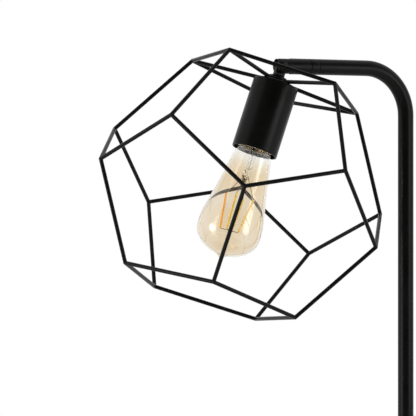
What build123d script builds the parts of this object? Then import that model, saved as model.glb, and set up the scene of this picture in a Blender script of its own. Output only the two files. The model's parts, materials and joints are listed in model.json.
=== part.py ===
"""Wire cage floor lamp: weighted round base, screwed tube pole with a bent arm, and a tilting
head that carries a bulb inside a twelve-sided cage of welded wire.

Frame: origin on the floor at the centre of the base, +Z up, the arm reaches out along -X.
The head is drawn in its own frame, with the tilt pivot at the origin and +Z along the socket
axis away from the bulb, and is then turned to its resting tilt.  All sizes are millimetres.
"""
import os
from math import cos, hypot, radians, sin, sqrt

from build123d import *

# ------------------------------------------------------------------ overall sizes
ARM_HEIGHT = 1500.0          # floor to the centre line of the arm
ARM_REACH = 147.5            # pole axis to the tilt pivot
BEND_RADIUS = 48.0           # centre line of the bend between pole and arm
REST_TILT = 20.2             # degrees: how far the bulb end of the head leans away from the pole

# ------------------------------------------------------------------ fits and clearances
THREAD_CLEARANCE = 0.05      # radial, threaded pieces drawn at their nominal sizes
RUNNING_CLEARANCE = 0.05     # radial or per face, pieces that turn on each other
PRESSED_CLEARANCE = 0.05     # radial, pieces pushed or welded into a tube
LOOSE_GAP = 0.3              # pieces that are held near each other but don't touch
CUT = 1.0                    # how far a cutter runs past what it cuts

# ------------------------------------------------------------------ pole and arm tube
TUBE_RADIUS = 8.0
TUBE_WALL = 1.0
LOWER_LENGTH = 480.0         # tube that stands on the base
MIDDLE_LENGTH = 480.0        # tube above it
INSERT_LENGTH = 16.0         # threaded bush fixed in each tube end
STUD_RADIUS = 5.0            # hollow threaded studs
STUD_BORE_RADIUS = 3.2
STUD_ENGAGEMENT = 14.0       # depth that a stud enters a bush
FLEX_RADIUS = 2.5            # round two-core flex inside the lamp

# ------------------------------------------------------------------ base
BASE_RADIUS = 115.0
BASE_HEIGHT = 28.0
COVER_SHEET = 1.5
COVER_EDGE_ROUND = 5.0
COVER_LIFT = 1.0             # rim of the cover above the floor
PAD_RADIUS = 108.0
PAD_THICKNESS = 2.0
BOTTOM_SHEET = 1.2
BOTTOM_GAP = 0.5             # bottom plate to the wall of the cover
WEIGHT_GAP = 2.0             # weight to the wall of the cover
RECESS_RADIUS = 20.0         # pocket in the weight for the nut
RECESS_DEPTH = 8.0
BASE_WASHER_RADIUS = 14.0
BASE_WASHER_THICKNESS = 1.5
BASE_NUT_FLATS = 15.0
BASE_NUT_THICKNESS = 4.5
BASE_BEND_RADIUS = 6.0       # flex, where it turns up into the pole
POLE_COLLAR_RADIUS = 13.0
POLE_COLLAR_HEIGHT = 9.0
POLE_COLLAR_CHAMFER = 2.0

# ------------------------------------------------------------------ cord inlet in the base
INLET_BORE_RADIUS = 2.7
INLET_NECK_WALL = 1.4        # rubber between the bore and the hole in the cover
INLET_FLANGE_WALL = 2.2      # rubber between the bore and the outside of a flange
INLET_LENGTH = 8.0
INLET_OUTER_FLANGE = 2.0

# ------------------------------------------------------------------ swivel at the end of the arm
COLLAR_LENGTH = 10.0
COLLAR_OFFSET = 31.0         # pivot axis to the near face of the collar
SWIVEL_NOSE = 6.0            # clevis beyond the pivot axis
SWIVEL_CHAMFER = 1.0
SEAM_CHAMFER = 0.4
SLOT_DEPTH = 10.0            # pivot axis to the root of the slot
LUG_THICKNESS = 4.6
LUG_HALF_WIDTH = 5.5
PIVOT_WASHER_THICKNESS = 0.6
PIVOT_WASHER_RADIUS = 4.8
PIVOT_RADIUS = 2.0
PIVOT_HEAD_RADIUS = 3.8
PIVOT_HEAD_DEPTH = 2.2
PIVOT_NUT_FLATS = 7.0
PIVOT_NUT_THICKNESS = 2.4
COUNTERBORE_GAP = 0.4
DRIVE_SLOT_WIDTH = 0.9
DRIVE_SLOT_DEPTH = 0.8
DRIVE_SLOT_TURN = 35.0       # degrees, as the screw was left

# ------------------------------------------------------------------ lug that carries the head
HUB_CLEARANCE = 6.4          # underside of the clevis to the top of the cage hub
LUG_FOOT_RADIUS = 9.5
LUG_FOOT_THICKNESS = 2.4
LUG_CONE_STEP = 1.0          # ledge round the foot of the cone
LUG_CONE_RISE = 2.0
STEM_LENGTH = 23.65          # threaded stem below the top of the hub
WIRE_PORT_RADIUS = 1.6

# ------------------------------------------------------------------ wire cage
WIRE_RADIUS = 2.0
HUB_RADIUS = 13.5
HUB_MARGIN = 0.1             # hub beyond the wires, above and below them
CAGE_SIDES = 5
MITRE_LEAD = 1.5             # wire radii that a blank wire runs past its corner before mitring
CAGE_RING_RADIUS = 91.5      # corners of the top and bottom pentagons
CAGE_BELT_RADIUS = 148.0     # corners of the zigzag belt
CAGE_SHOULDER = 87.7         # height between a pentagon and the belt corners next to it
CAGE_BELT_RISE = 48.9        # height of the zigzag
CAGE_TURN = -9.5             # degrees from the arm's direction to a top corner

# ------------------------------------------------------------------ socket
SLEEVE_LENGTH = 72.75
SLEEVE_WALL = 1.5
SLEEVE_MOUTH_GAP = 3.4       # glass neck to the bore of the sleeve
SLEEVE_EDGE_ROUND = 1.4
LOCK_WASHER_RADIUS = 9.0
LOCK_WASHER_THICKNESS = 1.0
STEM_NUT_FLATS = 14.0
STEM_NUT_THICKNESS = 4.0
CAP_GAP = 4.15               # stem nut to the top of the socket cap
CAP_HEIGHT = 20.0
CAP_TOP_THICKNESS = 8.0
SOCKET_RADIUS = 17.5
SOCKET_CAP_WALL = 1.8
BLOCK_RISE = 4.0             # terminal block above the joint with the cap
BLOCK_DEPTH = 8.0            # terminal block below that joint
SOCKET_SKIRT = 31.2          # screw socket below the terminal block
SHELL_WALL = 0.5
SHELL_SETBACK = 2.0          # screw shell below the terminal block
SHELL_LENGTH = 25.0
BULB_CAP_CLEARANCE = 0.4     # bulb cap to the screw shell
TERMINAL_OFFSET = 9.5
TERMINAL_SIZE = 7.0
TERMINAL_THICKNESS = 0.8
TERMINAL_SCREW_RADIUS = 1.5
TERMINAL_HEAD_RADIUS = 2.8
TERMINAL_HEAD_HEIGHT = 2.0
TERMINAL_SCREW_DEPTH = 6.0
CONTACT_LENGTH = 14.0
CONTACT_WIDTH = 5.0
CONTACT_SHEET = 0.5
CONTACT_KNEE = 2.0           # half the run of the leaf's slope
CONTACT_REACH = 3.7          # tip of the spring below the terminal block
CORE_RADIUS = 0.9
CORE_SPREAD = 1.2
CORE_BEND_RADIUS = 2.6
FLEX_TAIL = 1.5              # flex beyond the end of the stem

# ------------------------------------------------------------------ bulb
BULB_CAP_RADIUS = 13.1
BULB_CAP_WALL = 0.5
BULB_CAP_LENGTH = 22.5
THREAD_PITCH = 3.63
THREAD_COUNT = 5
THREAD_DEPTH = 0.9
THREAD_START = 3.2           # from the end of the cap to the first groove
INSULATOR_HEIGHT = 2.2
INSULATOR_TIP_RADIUS = 5.5
BULB_CONTACT_RADIUS = 4.6
BULB_CONTACT_HEIGHT = 1.3
GLASS_WALL = 0.9
GLASS_SEAT = 7.0             # glass neck inside the cap
BULB_NECK_RADIUS = 18.1      # at the mouth of the sleeve
BULB_NECK_DROP = 5.0         # cap to the neck
NECK_FLARE = 0.9             # slope of the glass where it leaves the cap
NECK_TAPER = 0.25            # slope of the glass at the neck
BULB_RADIUS = 32.3
BULB_WAIST_RADIUS = 25.4
BULB_WAIST_DROP = 45.0       # cap to the waist
BULB_BELLY_DROP = 88.0       # cap to the widest place
BULB_END_LENGTH = 24.8       # widest place to the end of the round
NUB_RADIUS = 4.8
NUB_END_RADIUS = 2.0
NUB_LENGTH = 4.6
STEM_TUBE_RADIUS = 3.4
STEM_PINCH_RADIUS = 4.6
STEM_DROP = 33.0             # cap to the end of the glass stem
STEM_FLARE_HEIGHT = 6.0
STEM_PINCH_HEIGHT = 9.0
STEM_PINCH_THICKNESS = 4.0
STEM_PINCH_ROUND = 1.7
FILAMENT_COUNT = 4
FILAMENT_RADIUS = 0.95
FILAMENT_TOP_DROP = 52.0     # cap to the upper ends of the filaments
FILAMENT_END_DROP = 87.0     # cap to their lower ends
FILAMENT_TOP_CIRCLE = 14.5
FILAMENT_END_CIRCLE = 9.5
FILAMENT_TURN = 46.0         # degrees, first filament from the arm's direction
LEAD_RADIUS = 0.3

# ------------------------------------------------------------------ derived places
TUBE_BORE = TUBE_RADIUS - TUBE_WALL
THREAD_HOLE = STUD_RADIUS + THREAD_CLEARANCE
MIDDLE_START = BASE_HEIGHT + LOWER_LENGTH
UPPER_START = MIDDLE_START + MIDDLE_LENGTH
COLLAR_NEAR = -ARM_REACH + COLLAR_OFFSET
ARM_END = COLLAR_NEAR + COLLAR_LENGTH
WEIGHT_TOP = BASE_HEIGHT - COVER_SHEET
BOTTOM_TOP = PAD_THICKNESS + BOTTOM_SHEET
INLET_FLANGE = INLET_BORE_RADIUS + INLET_FLANGE_WALL
INLET_NECK = INLET_BORE_RADIUS + INLET_NECK_WALL
INLET_END = BASE_RADIUS + INLET_OUTER_FLANGE
INLET_START = INLET_END - INLET_LENGTH
FLEX_LEVEL = BOTTOM_TOP + INLET_FLANGE + LOOSE_GAP
WEIGHT_BOTTOM = FLEX_LEVEL + INLET_FLANGE + LOOSE_GAP
RECESS_TOP = WEIGHT_BOTTOM + RECESS_DEPTH
BASE_STUD_START = RECESS_TOP - BASE_WASHER_THICKNESS - BASE_NUT_THICKNESS
SLOT_WIDTH = LUG_THICKNESS + 2 * PIVOT_WASHER_THICKNESS + 4 * RUNNING_CLEARANCE
HUB_DROP = TUBE_RADIUS + HUB_CLEARANCE
RING_LEVEL = -HUB_DROP - HUB_MARGIN - WIRE_RADIUS
HUB_BOTTOM = RING_LEVEL - WIRE_RADIUS - HUB_MARGIN
STEM_END = -HUB_DROP - STEM_LENGTH
SLEEVE_BORE = BULB_NECK_RADIUS + SLEEVE_MOUTH_GAP
SLEEVE_RADIUS = SLEEVE_BORE + SLEEVE_WALL
WASHER_TOP = HUB_BOTTOM - SLEEVE_WALL
NUT_TOP = WASHER_TOP - LOCK_WASHER_THICKNESS
CAP_TOP = NUT_TOP - STEM_NUT_THICKNESS - CAP_GAP
CAP_RIM = CAP_TOP - CAP_HEIGHT
BLOCK_TOP = CAP_RIM + BLOCK_RISE
BLOCK_BOTTOM = CAP_RIM - BLOCK_DEPTH
SHELL_BORE = BULB_CAP_RADIUS + BULB_CAP_CLEARANCE
SHELL_TOP = BLOCK_BOTTOM - SHELL_SETBACK
BULB_TOP = BLOCK_BOTTOM - CONTACT_REACH - LOOSE_GAP
INSULATOR_TOP = BULB_TOP - BULB_CONTACT_HEIGHT
BULB_CAP_TOP = INSULATOR_TOP - INSULATOR_HEIGHT
BULB_CAP_RIM = BULB_CAP_TOP - BULB_CAP_LENGTH
GLASS_SEAT_RADIUS = BULB_CAP_RADIUS - THREAD_DEPTH - BULB_CAP_WALL - PRESSED_CLEARANCE

LOW = (Align.CENTER, Align.CENTER, Align.MIN)
HIGH = (Align.CENTER, Align.CENTER, Align.MAX)
HEAD_PLACE = Location((-ARM_REACH, 0, ARM_HEIGHT)) * Rotation(0, REST_TILT, 0)


# ------------------------------------------------------------------ small helpers
def disc(radius, bottom, top, x=0.0, y=0.0):
    """Upright solid cylinder between two heights."""
    return Pos(x, y, bottom) * Cylinder(radius, top - bottom, align=LOW)


def ring(radius, bore, bottom, top):
    """Upright ring or tube between two heights."""
    return disc(radius, bottom, top) - disc(bore, bottom - CUT, top + CUT)


def rod(start, end, radius):
    """Round straight bar between two points."""
    start, end = Vector(*start), Vector(*end)
    place = Plane(origin=start, z_dir=end - start)
    return place * Cylinder(radius, (end - start).length, align=LOW)


def hex_nut(flats, bore, bottom, top):
    """Upright hexagon nut with a plain hole of the thread's size."""
    body = Pos(0, 0, bottom) * extrude(RegularPolygon(flats / 2, 6, major_radius=False), top - bottom)
    return body - disc(bore, bottom - CUT, top + CUT)


def turned(outline):
    """Solid turned about the upright axis from a closed outline of (radius, height) edges."""
    return revolve(make_face(Plane.XZ * outline), Axis.Z)


def along_arm(shape, x):
    """Lays an upright shape along the arm, its foot at x and its top towards the pole."""
    return Pos(x, 0, ARM_HEIGHT) * (Rotation(0, 90, 0) * shape)


def group(solids):
    """Several separate solids kept in one node."""
    return Compound(children=[piece.solid() if len(piece.solids()) == 1 else piece for piece in solids])


# ------------------------------------------------------------------ base
def base_cover():
    """Pressed steel shell with a rounded top edge, open below."""
    shell = disc(BASE_RADIUS, COVER_LIFT, BASE_HEIGHT)
    shell = fillet(shell.edges().group_by(Axis.Z)[-1], COVER_EDGE_ROUND)
    hollow = disc(BASE_RADIUS - COVER_SHEET, COVER_LIFT - CUT, WEIGHT_TOP)
    hollow = fillet(hollow.edges().group_by(Axis.Z)[-1], COVER_EDGE_ROUND - COVER_SHEET)
    shell -= hollow
    shell -= disc(THREAD_HOLE, WEIGHT_TOP - CUT, BASE_HEIGHT + CUT)
    return shell - inlet_bar(BASE_RADIUS - COVER_SHEET - CUT, BASE_RADIUS + CUT, INLET_NECK)


def base_weight():
    """Cast iron disc with a pocket below for the nut."""
    radius = BASE_RADIUS - COVER_SHEET - WEIGHT_GAP
    body = disc(radius, WEIGHT_BOTTOM, WEIGHT_TOP)
    body = chamfer(body.edges().group_by(Axis.Z)[-1], COVER_EDGE_ROUND - COVER_SHEET)
    body -= disc(RECESS_RADIUS, WEIGHT_BOTTOM - CUT, RECESS_TOP)
    return body - disc(THREAD_HOLE, WEIGHT_BOTTOM, WEIGHT_TOP + CUT)


def base_bottom_plate():
    """Sheet that closes the cover, pushed inside its wall."""
    return disc(BASE_RADIUS - COVER_SHEET - BOTTOM_GAP, PAD_THICKNESS, BOTTOM_TOP)


def base_pad():
    """Soft pad on which the lamp stands."""
    return disc(PAD_RADIUS, 0, PAD_THICKNESS)


def base_stud():
    """Hollow stud that pulls the pole, the cover and the weight together."""
    return ring(STUD_RADIUS, STUD_BORE_RADIUS, BASE_STUD_START, BASE_HEIGHT + STUD_ENGAGEMENT)


def base_washer():
    """Washer between the nut and the weight."""
    return ring(BASE_WASHER_RADIUS, THREAD_HOLE, RECESS_TOP - BASE_WASHER_THICKNESS, RECESS_TOP)


def base_nut():
    """Thin hexagon nut on the lower end of the stud."""
    return hex_nut(BASE_NUT_FLATS, THREAD_HOLE, BASE_STUD_START, BASE_STUD_START + BASE_NUT_THICKNESS)


def pole_collar():
    """Trim ring round the foot of the pole."""
    body = disc(POLE_COLLAR_RADIUS, BASE_HEIGHT, BASE_HEIGHT + POLE_COLLAR_HEIGHT)
    body = chamfer(body.edges().group_by(Axis.Z)[-1], POLE_COLLAR_CHAMFER)
    bore = TUBE_RADIUS + RUNNING_CLEARANCE
    return body - disc(bore, BASE_HEIGHT - CUT, BASE_HEIGHT + POLE_COLLAR_HEIGHT + CUT)


def inlet_bar(start, end, radius):
    """Round bar on the axis of the cord inlet, between two distances from the pole."""
    return rod((start, 0, FLEX_LEVEL), (end, 0, FLEX_LEVEL), radius)


def cord_inlet():
    """Rubber bush in the back of the cover, flanged on both sides of the sheet."""
    wall = BASE_RADIUS - COVER_SHEET - LOOSE_GAP
    bush = inlet_bar(INLET_START, wall, INLET_FLANGE)
    bush += inlet_bar(INLET_START, INLET_END, INLET_NECK - PRESSED_CLEARANCE)
    bush += inlet_bar(BASE_RADIUS + LOOSE_GAP, INLET_END, INLET_FLANGE)
    return bush - inlet_bar(INLET_START - CUT, INLET_END + CUT, INLET_BORE_RADIUS)


# ------------------------------------------------------------------ pole and arm
def pole_tube(bottom, length):
    """Straight pole tube, its ends broken by a fine chamfer."""
    body = disc(TUBE_RADIUS, bottom, bottom + length)
    body = chamfer(body.edges(), SEAM_CHAMFER)
    return body - disc(TUBE_BORE, bottom - CUT, bottom + length + CUT)


def arm_centre_line(start, end):
    """Path up the pole, round the bend and out along the arm."""
    upright = Line((0, 0, start), (0, 0, ARM_HEIGHT - BEND_RADIUS))
    middle = BEND_RADIUS * (1 - sqrt(0.5))
    bend = ThreePointArc(upright @ 1, (-middle, 0, ARM_HEIGHT - middle), (-BEND_RADIUS, 0, ARM_HEIGHT))
    return upright + bend + Line(bend @ 1, (end, 0, ARM_HEIGHT))


def arm_tube():
    """Upper pole tube, bent over into the arm."""
    path = arm_centre_line(UPPER_START, ARM_END)
    section = Plane(origin=(0, 0, UPPER_START)) * (Circle(TUBE_RADIUS) - Circle(TUBE_BORE))
    return sweep(section, path=path)


def tube_insert(bottom):
    """Threaded bush fixed in the end of a tube."""
    return ring(TUBE_BORE - PRESSED_CLEARANCE, THREAD_HOLE, bottom, bottom + INSERT_LENGTH)


def tube_inserts():
    """The bushes of the pole, one in each straight tube end and one in the foot of the arm tube."""
    feet = (BASE_HEIGHT, MIDDLE_START - INSERT_LENGTH, MIDDLE_START,
            UPPER_START - INSERT_LENGTH, UPPER_START)
    return group([tube_insert(foot) for foot in feet])


def joint_studs():
    """Hollow studs that join the tubes of the pole end to end."""
    levels = (MIDDLE_START, UPPER_START)
    return group([ring(STUD_RADIUS, STUD_BORE_RADIUS, level - STUD_ENGAGEMENT, level + STUD_ENGAGEMENT)
                  for level in levels])


def arm_insert():
    """Threaded bush in the end of the arm."""
    return along_arm(ring(TUBE_BORE - PRESSED_CLEARANCE, THREAD_HOLE, 0, INSERT_LENGTH), ARM_END)


def swivel_stud():
    """Hollow stud that holds the swivel and its collar on the arm."""
    length = 2 * STUD_ENGAGEMENT + COLLAR_LENGTH
    return along_arm(ring(STUD_RADIUS, STUD_BORE_RADIUS, 0, length), COLLAR_NEAR - STUD_ENGAGEMENT)


def swivel_collar():
    """Lock ring between the arm tube and the swivel."""
    body = chamfer(disc(TUBE_RADIUS, 0, COLLAR_LENGTH).edges(), SEAM_CHAMFER)
    return along_arm(body - disc(THREAD_HOLE, -CUT, COLLAR_LENGTH + CUT), COLLAR_NEAR)


def swivel_clevis():
    """Round bar with a slot for the lug, a cross hole for the pivot and a way through for the flex."""
    length = COLLAR_OFFSET + SWIVEL_NOSE
    body = disc(TUBE_RADIUS, 0, length)
    body = chamfer(body.edges().group_by(Axis.Z)[0], SWIVEL_CHAMFER)
    body = chamfer(body.edges().group_by(Axis.Z)[-1], SEAM_CHAMFER)
    slot_root = SWIVEL_NOSE + SLOT_DEPTH
    body -= Box(4 * TUBE_RADIUS, SLOT_WIDTH, 2 * slot_root)
    body -= disc(STUD_BORE_RADIUS, slot_root - CUT, length)
    body -= disc(THREAD_HOLE, length - STUD_ENGAGEMENT, length + CUT)
    body = along_arm(body, -ARM_REACH - SWIVEL_NOSE)
    body -= pivot_bar(PIVOT_RADIUS + RUNNING_CLEARANCE, -TUBE_RADIUS, TUBE_RADIUS)
    head_pocket = PIVOT_HEAD_RADIUS + COUNTERBORE_GAP
    body -= pivot_bar(head_pocket, -TUBE_RADIUS - CUT, PIVOT_HEAD_DEPTH - TUBE_RADIUS)
    nut_pocket = PIVOT_NUT_FLATS / sqrt(3) + COUNTERBORE_GAP
    return body - pivot_bar(nut_pocket, TUBE_RADIUS - PIVOT_NUT_THICKNESS, TUBE_RADIUS + CUT)


def pivot_bar(radius, near, far):
    """Round bar on the pivot axis, between two distances from the middle of the slot."""
    return rod((-ARM_REACH, near, ARM_HEIGHT), (-ARM_REACH, far, ARM_HEIGHT), radius)


def pivot_screw():
    """Slotted screw that the head tilts on."""
    seat = PIVOT_HEAD_DEPTH - TUBE_RADIUS
    screw = pivot_bar(PIVOT_HEAD_RADIUS, -TUBE_RADIUS, seat)
    screw += pivot_bar(PIVOT_RADIUS, seat, TUBE_RADIUS)
    driver = Pos(-ARM_REACH, -TUBE_RADIUS, ARM_HEIGHT) * Rotation(0, DRIVE_SLOT_TURN, 0)
    return screw - driver * Box(3 * PIVOT_HEAD_RADIUS, 2 * DRIVE_SLOT_DEPTH, DRIVE_SLOT_WIDTH)


def pivot_nut():
    """Nut that sets the friction of the tilt."""
    nut = hex_nut(PIVOT_NUT_FLATS, PIVOT_RADIUS + THREAD_CLEARANCE, 0, PIVOT_NUT_THICKNESS)
    return Pos(-ARM_REACH, TUBE_RADIUS, ARM_HEIGHT) * (Rotation(90, 0, 0) * nut)


def pivot_washers():
    """Friction washers on both sides of the lug."""
    near = LUG_THICKNESS / 2 + RUNNING_CLEARANCE
    far = near + PIVOT_WASHER_THICKNESS
    bore = PIVOT_RADIUS + RUNNING_CLEARANCE
    return group([pivot_bar(PIVOT_WASHER_RADIUS, *span) - pivot_bar(bore, -TUBE_RADIUS, TUBE_RADIUS)
                  for span in ((-far, -near), (near, far))])


def lamp_flex():
    """Flex from behind the cord inlet, up the pole and along the arm to the swivel."""
    inlet_end = INLET_START - LOOSE_GAP
    turn = BASE_BEND_RADIUS
    middle = turn * (1 - sqrt(0.5))
    floor_run = Line((inlet_end, 0, FLEX_LEVEL), (turn, 0, FLEX_LEVEL))
    rise = ThreePointArc(floor_run @ 1, (middle, 0, FLEX_LEVEL + middle), (0, 0, FLEX_LEVEL + turn))
    flex_end = -ARM_REACH + SLOT_DEPTH + LOOSE_GAP
    path = floor_run + rise + arm_centre_line(FLEX_LEVEL + turn, flex_end)
    section = Plane(origin=(inlet_end, 0, FLEX_LEVEL), z_dir=(-1, 0, 0)) * Circle(FLEX_RADIUS)
    return sweep(section, path=path)


# ------------------------------------------------------------------ head: lug and cage
def swivel_lug():
    """Tongue in the clevis, widening to a foot with a hollow threaded stem."""
    foot_top = LUG_FOOT_THICKNESS - HUB_DROP
    tongue = rod((0, -LUG_THICKNESS / 2, 0), (0, LUG_THICKNESS / 2, 0), LUG_HALF_WIDTH)
    tongue += Box(2 * LUG_HALF_WIDTH, LUG_THICKNESS, HUB_DROP, align=HIGH)
    cone = Cone(LUG_FOOT_RADIUS - LUG_CONE_STEP, LUG_HALF_WIDTH, LUG_CONE_RISE, align=LOW)
    body = tongue + Pos(0, 0, foot_top) * cone + disc(LUG_FOOT_RADIUS, -HUB_DROP, foot_top)
    body += disc(STUD_RADIUS, STEM_END, -HUB_DROP)
    body -= rod((0, -LUG_THICKNESS, 0), (0, LUG_THICKNESS, 0), PIVOT_RADIUS + RUNNING_CLEARANCE)
    port_level = foot_top - WIRE_PORT_RADIUS / 2
    body -= disc(STUD_BORE_RADIUS, STEM_END - CUT, port_level)
    return body - rod((0, 0, port_level), (2 * LUG_FOOT_RADIUS, 0, port_level), WIRE_PORT_RADIUS)


def cage_hub():
    """Disc clamped between the lug and the sleeve, with the spokes welded to its rim."""
    return ring(HUB_RADIUS, THREAD_HOLE, HUB_BOTTOM, -HUB_DROP)


def cage_corner(radius, level, step):
    """Corner of the cage, a number of half steps round from the first top corner."""
    angle = radians(CAGE_TURN + step * 180 / CAGE_SIDES)
    return Vector(radius * cos(angle), radius * sin(angle), level)


def cage_corners():
    """The four rows of corners, from the top pentagon down to the bottom one."""
    levels = (RING_LEVEL, RING_LEVEL - CAGE_SHOULDER, RING_LEVEL - CAGE_SHOULDER - CAGE_BELT_RISE,
              RING_LEVEL - 2 * CAGE_SHOULDER - CAGE_BELT_RISE)
    radii = (CAGE_RING_RADIUS, CAGE_BELT_RADIUS, CAGE_BELT_RADIUS, CAGE_RING_RADIUS)
    starts = (0, 0, 1, 1)
    return [[cage_corner(radius, level, start + 2 * step) for step in range(CAGE_SIDES)]
            for radius, level, start in zip(radii, levels, starts)]


def cage_edges():
    """Every wire of the cage by group, each as its two end points."""
    top, upper, lower, bottom = cage_corners()
    turns = [(step, (step + 1) % CAGE_SIDES) for step in range(CAGE_SIDES)]
    hub = [cage_corner(HUB_RADIUS, RING_LEVEL, 2 * step) for step in range(CAGE_SIDES)]
    return {
        "cage_spokes": list(zip(hub, top)),
        "cage_top_ring": [(top[a], top[b]) for a, b in turns],
        "cage_upper_struts": list(zip(top, upper)),
        "cage_belt": [(upper[a], lower[a]) for a, _ in turns] + [(lower[a], upper[b]) for a, b in turns],
        "cage_lower_struts": list(zip(lower, bottom)),
        "cage_bottom_ring": [(bottom[a], bottom[b]) for a, b in turns],
    }


def cage_wire(start, end, edges):
    """One straight wire, mitred at each end against every other wire that meets it there."""
    along = (end - start).normalized()
    lead = along * (MITRE_LEAD * WIRE_RADIUS)
    is_spoke = hypot(start.X, start.Y) < HUB_RADIUS + WIRE_RADIUS
    wire = rod(start if is_spoke else start - lead, end + lead, WIRE_RADIUS)
    for corner, own in ((start, along), (end, along * -1)):
        for other in meeting_wires(corner, own, edges):
            wire = split(wire, bisect_by=Plane(origin=corner, z_dir=own - other), keep=Keep.TOP)
    return wire


def meeting_wires(corner, own, edges):
    """Directions, away from a corner, of the other wires that end there."""
    found = []
    for first, last in edges:
        for near, far in ((first, last), (last, first)):
            away = (far - near).normalized()
            if (near - corner).length < 0.001 and (away - own).length > 0.001:
                found.append(away)
    return found


def cage_groups():
    """The nodes of the cage, each a group of straight wires."""
    groups = cage_edges()
    edges = [edge for members in groups.values() for edge in members]
    return {name: group([cage_wire(*edge, edges) for edge in members]) for name, members in groups.items()}


# ------------------------------------------------------------------ head: socket
def socket_sleeve():
    """Deep round cover over the socket, closed above and open at the bulb."""
    bottom = HUB_BOTTOM - SLEEVE_LENGTH
    shell = disc(SLEEVE_RADIUS, bottom, HUB_BOTTOM)
    shell = fillet(shell.edges().group_by(Axis.Z)[-1], SLEEVE_EDGE_ROUND)
    shell -= disc(SLEEVE_BORE, bottom - CUT, WASHER_TOP)
    return shell - disc(THREAD_HOLE, WASHER_TOP - CUT, HUB_BOTTOM + CUT)


def lock_washer():
    """Washer under the top of the sleeve."""
    return ring(LOCK_WASHER_RADIUS, THREAD_HOLE, NUT_TOP, WASHER_TOP)


def stem_nut():
    """Nut that clamps the cage and the sleeve to the lug."""
    return hex_nut(STEM_NUT_FLATS, THREAD_HOLE, NUT_TOP - STEM_NUT_THICKNESS, NUT_TOP)


def socket_cap():
    """Upper half of the socket, screwed on the stem."""
    cap = ring(SOCKET_RADIUS, THREAD_HOLE, CAP_RIM, CAP_TOP)
    return cap - disc(SOCKET_RADIUS - SOCKET_CAP_WALL, CAP_RIM - CUT, CAP_TOP - CAP_TOP_THICKNESS)


def socket_body():
    """Lower half of the socket: the terminal block and the tube round the screw shell."""
    block = SOCKET_RADIUS - SOCKET_CAP_WALL - PRESSED_CLEARANCE
    body = disc(SOCKET_RADIUS, BLOCK_BOTTOM - SOCKET_SKIRT, CAP_RIM)
    body += disc(block, CAP_RIM, BLOCK_TOP)
    bore = SHELL_BORE + SHELL_WALL + PRESSED_CLEARANCE
    body -= disc(bore, BLOCK_BOTTOM - SOCKET_SKIRT - CUT, BLOCK_BOTTOM)
    hole = TERMINAL_SCREW_RADIUS + THREAD_CLEARANCE
    hole_end = BLOCK_TOP - TERMINAL_SCREW_DEPTH - LOOSE_GAP
    for side in (-1, 1):
        body -= disc(hole, hole_end, BLOCK_TOP + CUT, x=side * TERMINAL_OFFSET)
    return body


def screw_shell():
    """Thin metal shell that the bulb's cap screws into."""
    return ring(SHELL_BORE + SHELL_WALL, SHELL_BORE, SHELL_TOP - SHELL_LENGTH, SHELL_TOP)


def centre_contact():
    """Spring leaf under the terminal block that presses on the bulb's tip."""
    root = -CONTACT_LENGTH / 2
    tip = CONTACT_LENGTH / 2 - CONTACT_KNEE
    high, low = BLOCK_BOTTOM, BLOCK_BOTTOM - CONTACT_REACH
    upper = [(root, high), (-CONTACT_KNEE, high), (CONTACT_KNEE, low + CONTACT_SHEET),
             (tip, low + CONTACT_SHEET)]
    lower = [(tip, low), (CONTACT_KNEE - CONTACT_SHEET, low),
             (-CONTACT_KNEE - CONTACT_SHEET, high - CONTACT_SHEET), (root, high - CONTACT_SHEET)]
    leaf = make_face(Plane.XZ * Polyline(upper + lower, close=True))
    return Pos(-CONTACT_KNEE / 2, 0, 0) * extrude(leaf, CONTACT_WIDTH / 2, both=True)


def terminals():
    """Contact plates on top of the terminal block."""
    plate = Box(TERMINAL_SIZE, TERMINAL_SIZE, TERMINAL_THICKNESS, align=LOW)
    plate -= Cylinder(TERMINAL_SCREW_RADIUS + THREAD_CLEARANCE, 3 * TERMINAL_THICKNESS)
    return group([Pos(side * TERMINAL_OFFSET, 0, BLOCK_TOP) * plate for side in (-1, 1)])


def terminal_screws():
    """Screws that hold the cores on the contact plates."""
    seat = BLOCK_TOP + TERMINAL_THICKNESS
    screws = []
    for side in (-1, 1):
        place = side * TERMINAL_OFFSET
        screw = disc(TERMINAL_HEAD_RADIUS, seat, seat + TERMINAL_HEAD_HEIGHT, x=place)
        screw += disc(TERMINAL_SCREW_RADIUS, BLOCK_TOP - TERMINAL_SCREW_DEPTH, seat, x=place)
        slot = Box(3 * TERMINAL_HEAD_RADIUS, DRIVE_SLOT_WIDTH, 2 * DRIVE_SLOT_DEPTH)
        screws.append(screw - Pos(place, 0, seat + TERMINAL_HEAD_HEIGHT) * slot)
    return group(screws)


def head_flex():
    """Flex from the foot of the lug through the stem into the socket."""
    return disc(FLEX_RADIUS, STEM_END - FLEX_TAIL, -HUB_DROP)


def flex_cores():
    """The two cores, from the end of the flex to the terminals."""
    start = STEM_END - FLEX_TAIL
    level = BLOCK_TOP + TERMINAL_THICKNESS + CORE_RADIUS + RUNNING_CLEARANCE
    bend = min(CORE_BEND_RADIUS, start - level - LOOSE_GAP)
    reach = TERMINAL_OFFSET - TERMINAL_HEAD_RADIUS - LOOSE_GAP
    middle = bend * (1 - sqrt(0.5))
    cores = []
    for side in (-1, 1):
        x = side * CORE_SPREAD
        drop = Line((x, 0, start), (x, 0, level + bend))
        turn = ThreePointArc(drop @ 1, (x + side * middle, 0, level + middle), (x + side * bend, 0, level))
        path = drop + turn + Line(turn @ 1, (side * reach, 0, level))
        cores.append(sweep(Plane(origin=(x, 0, start)) * Circle(CORE_RADIUS), path=path))
    return group(cores)


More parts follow.
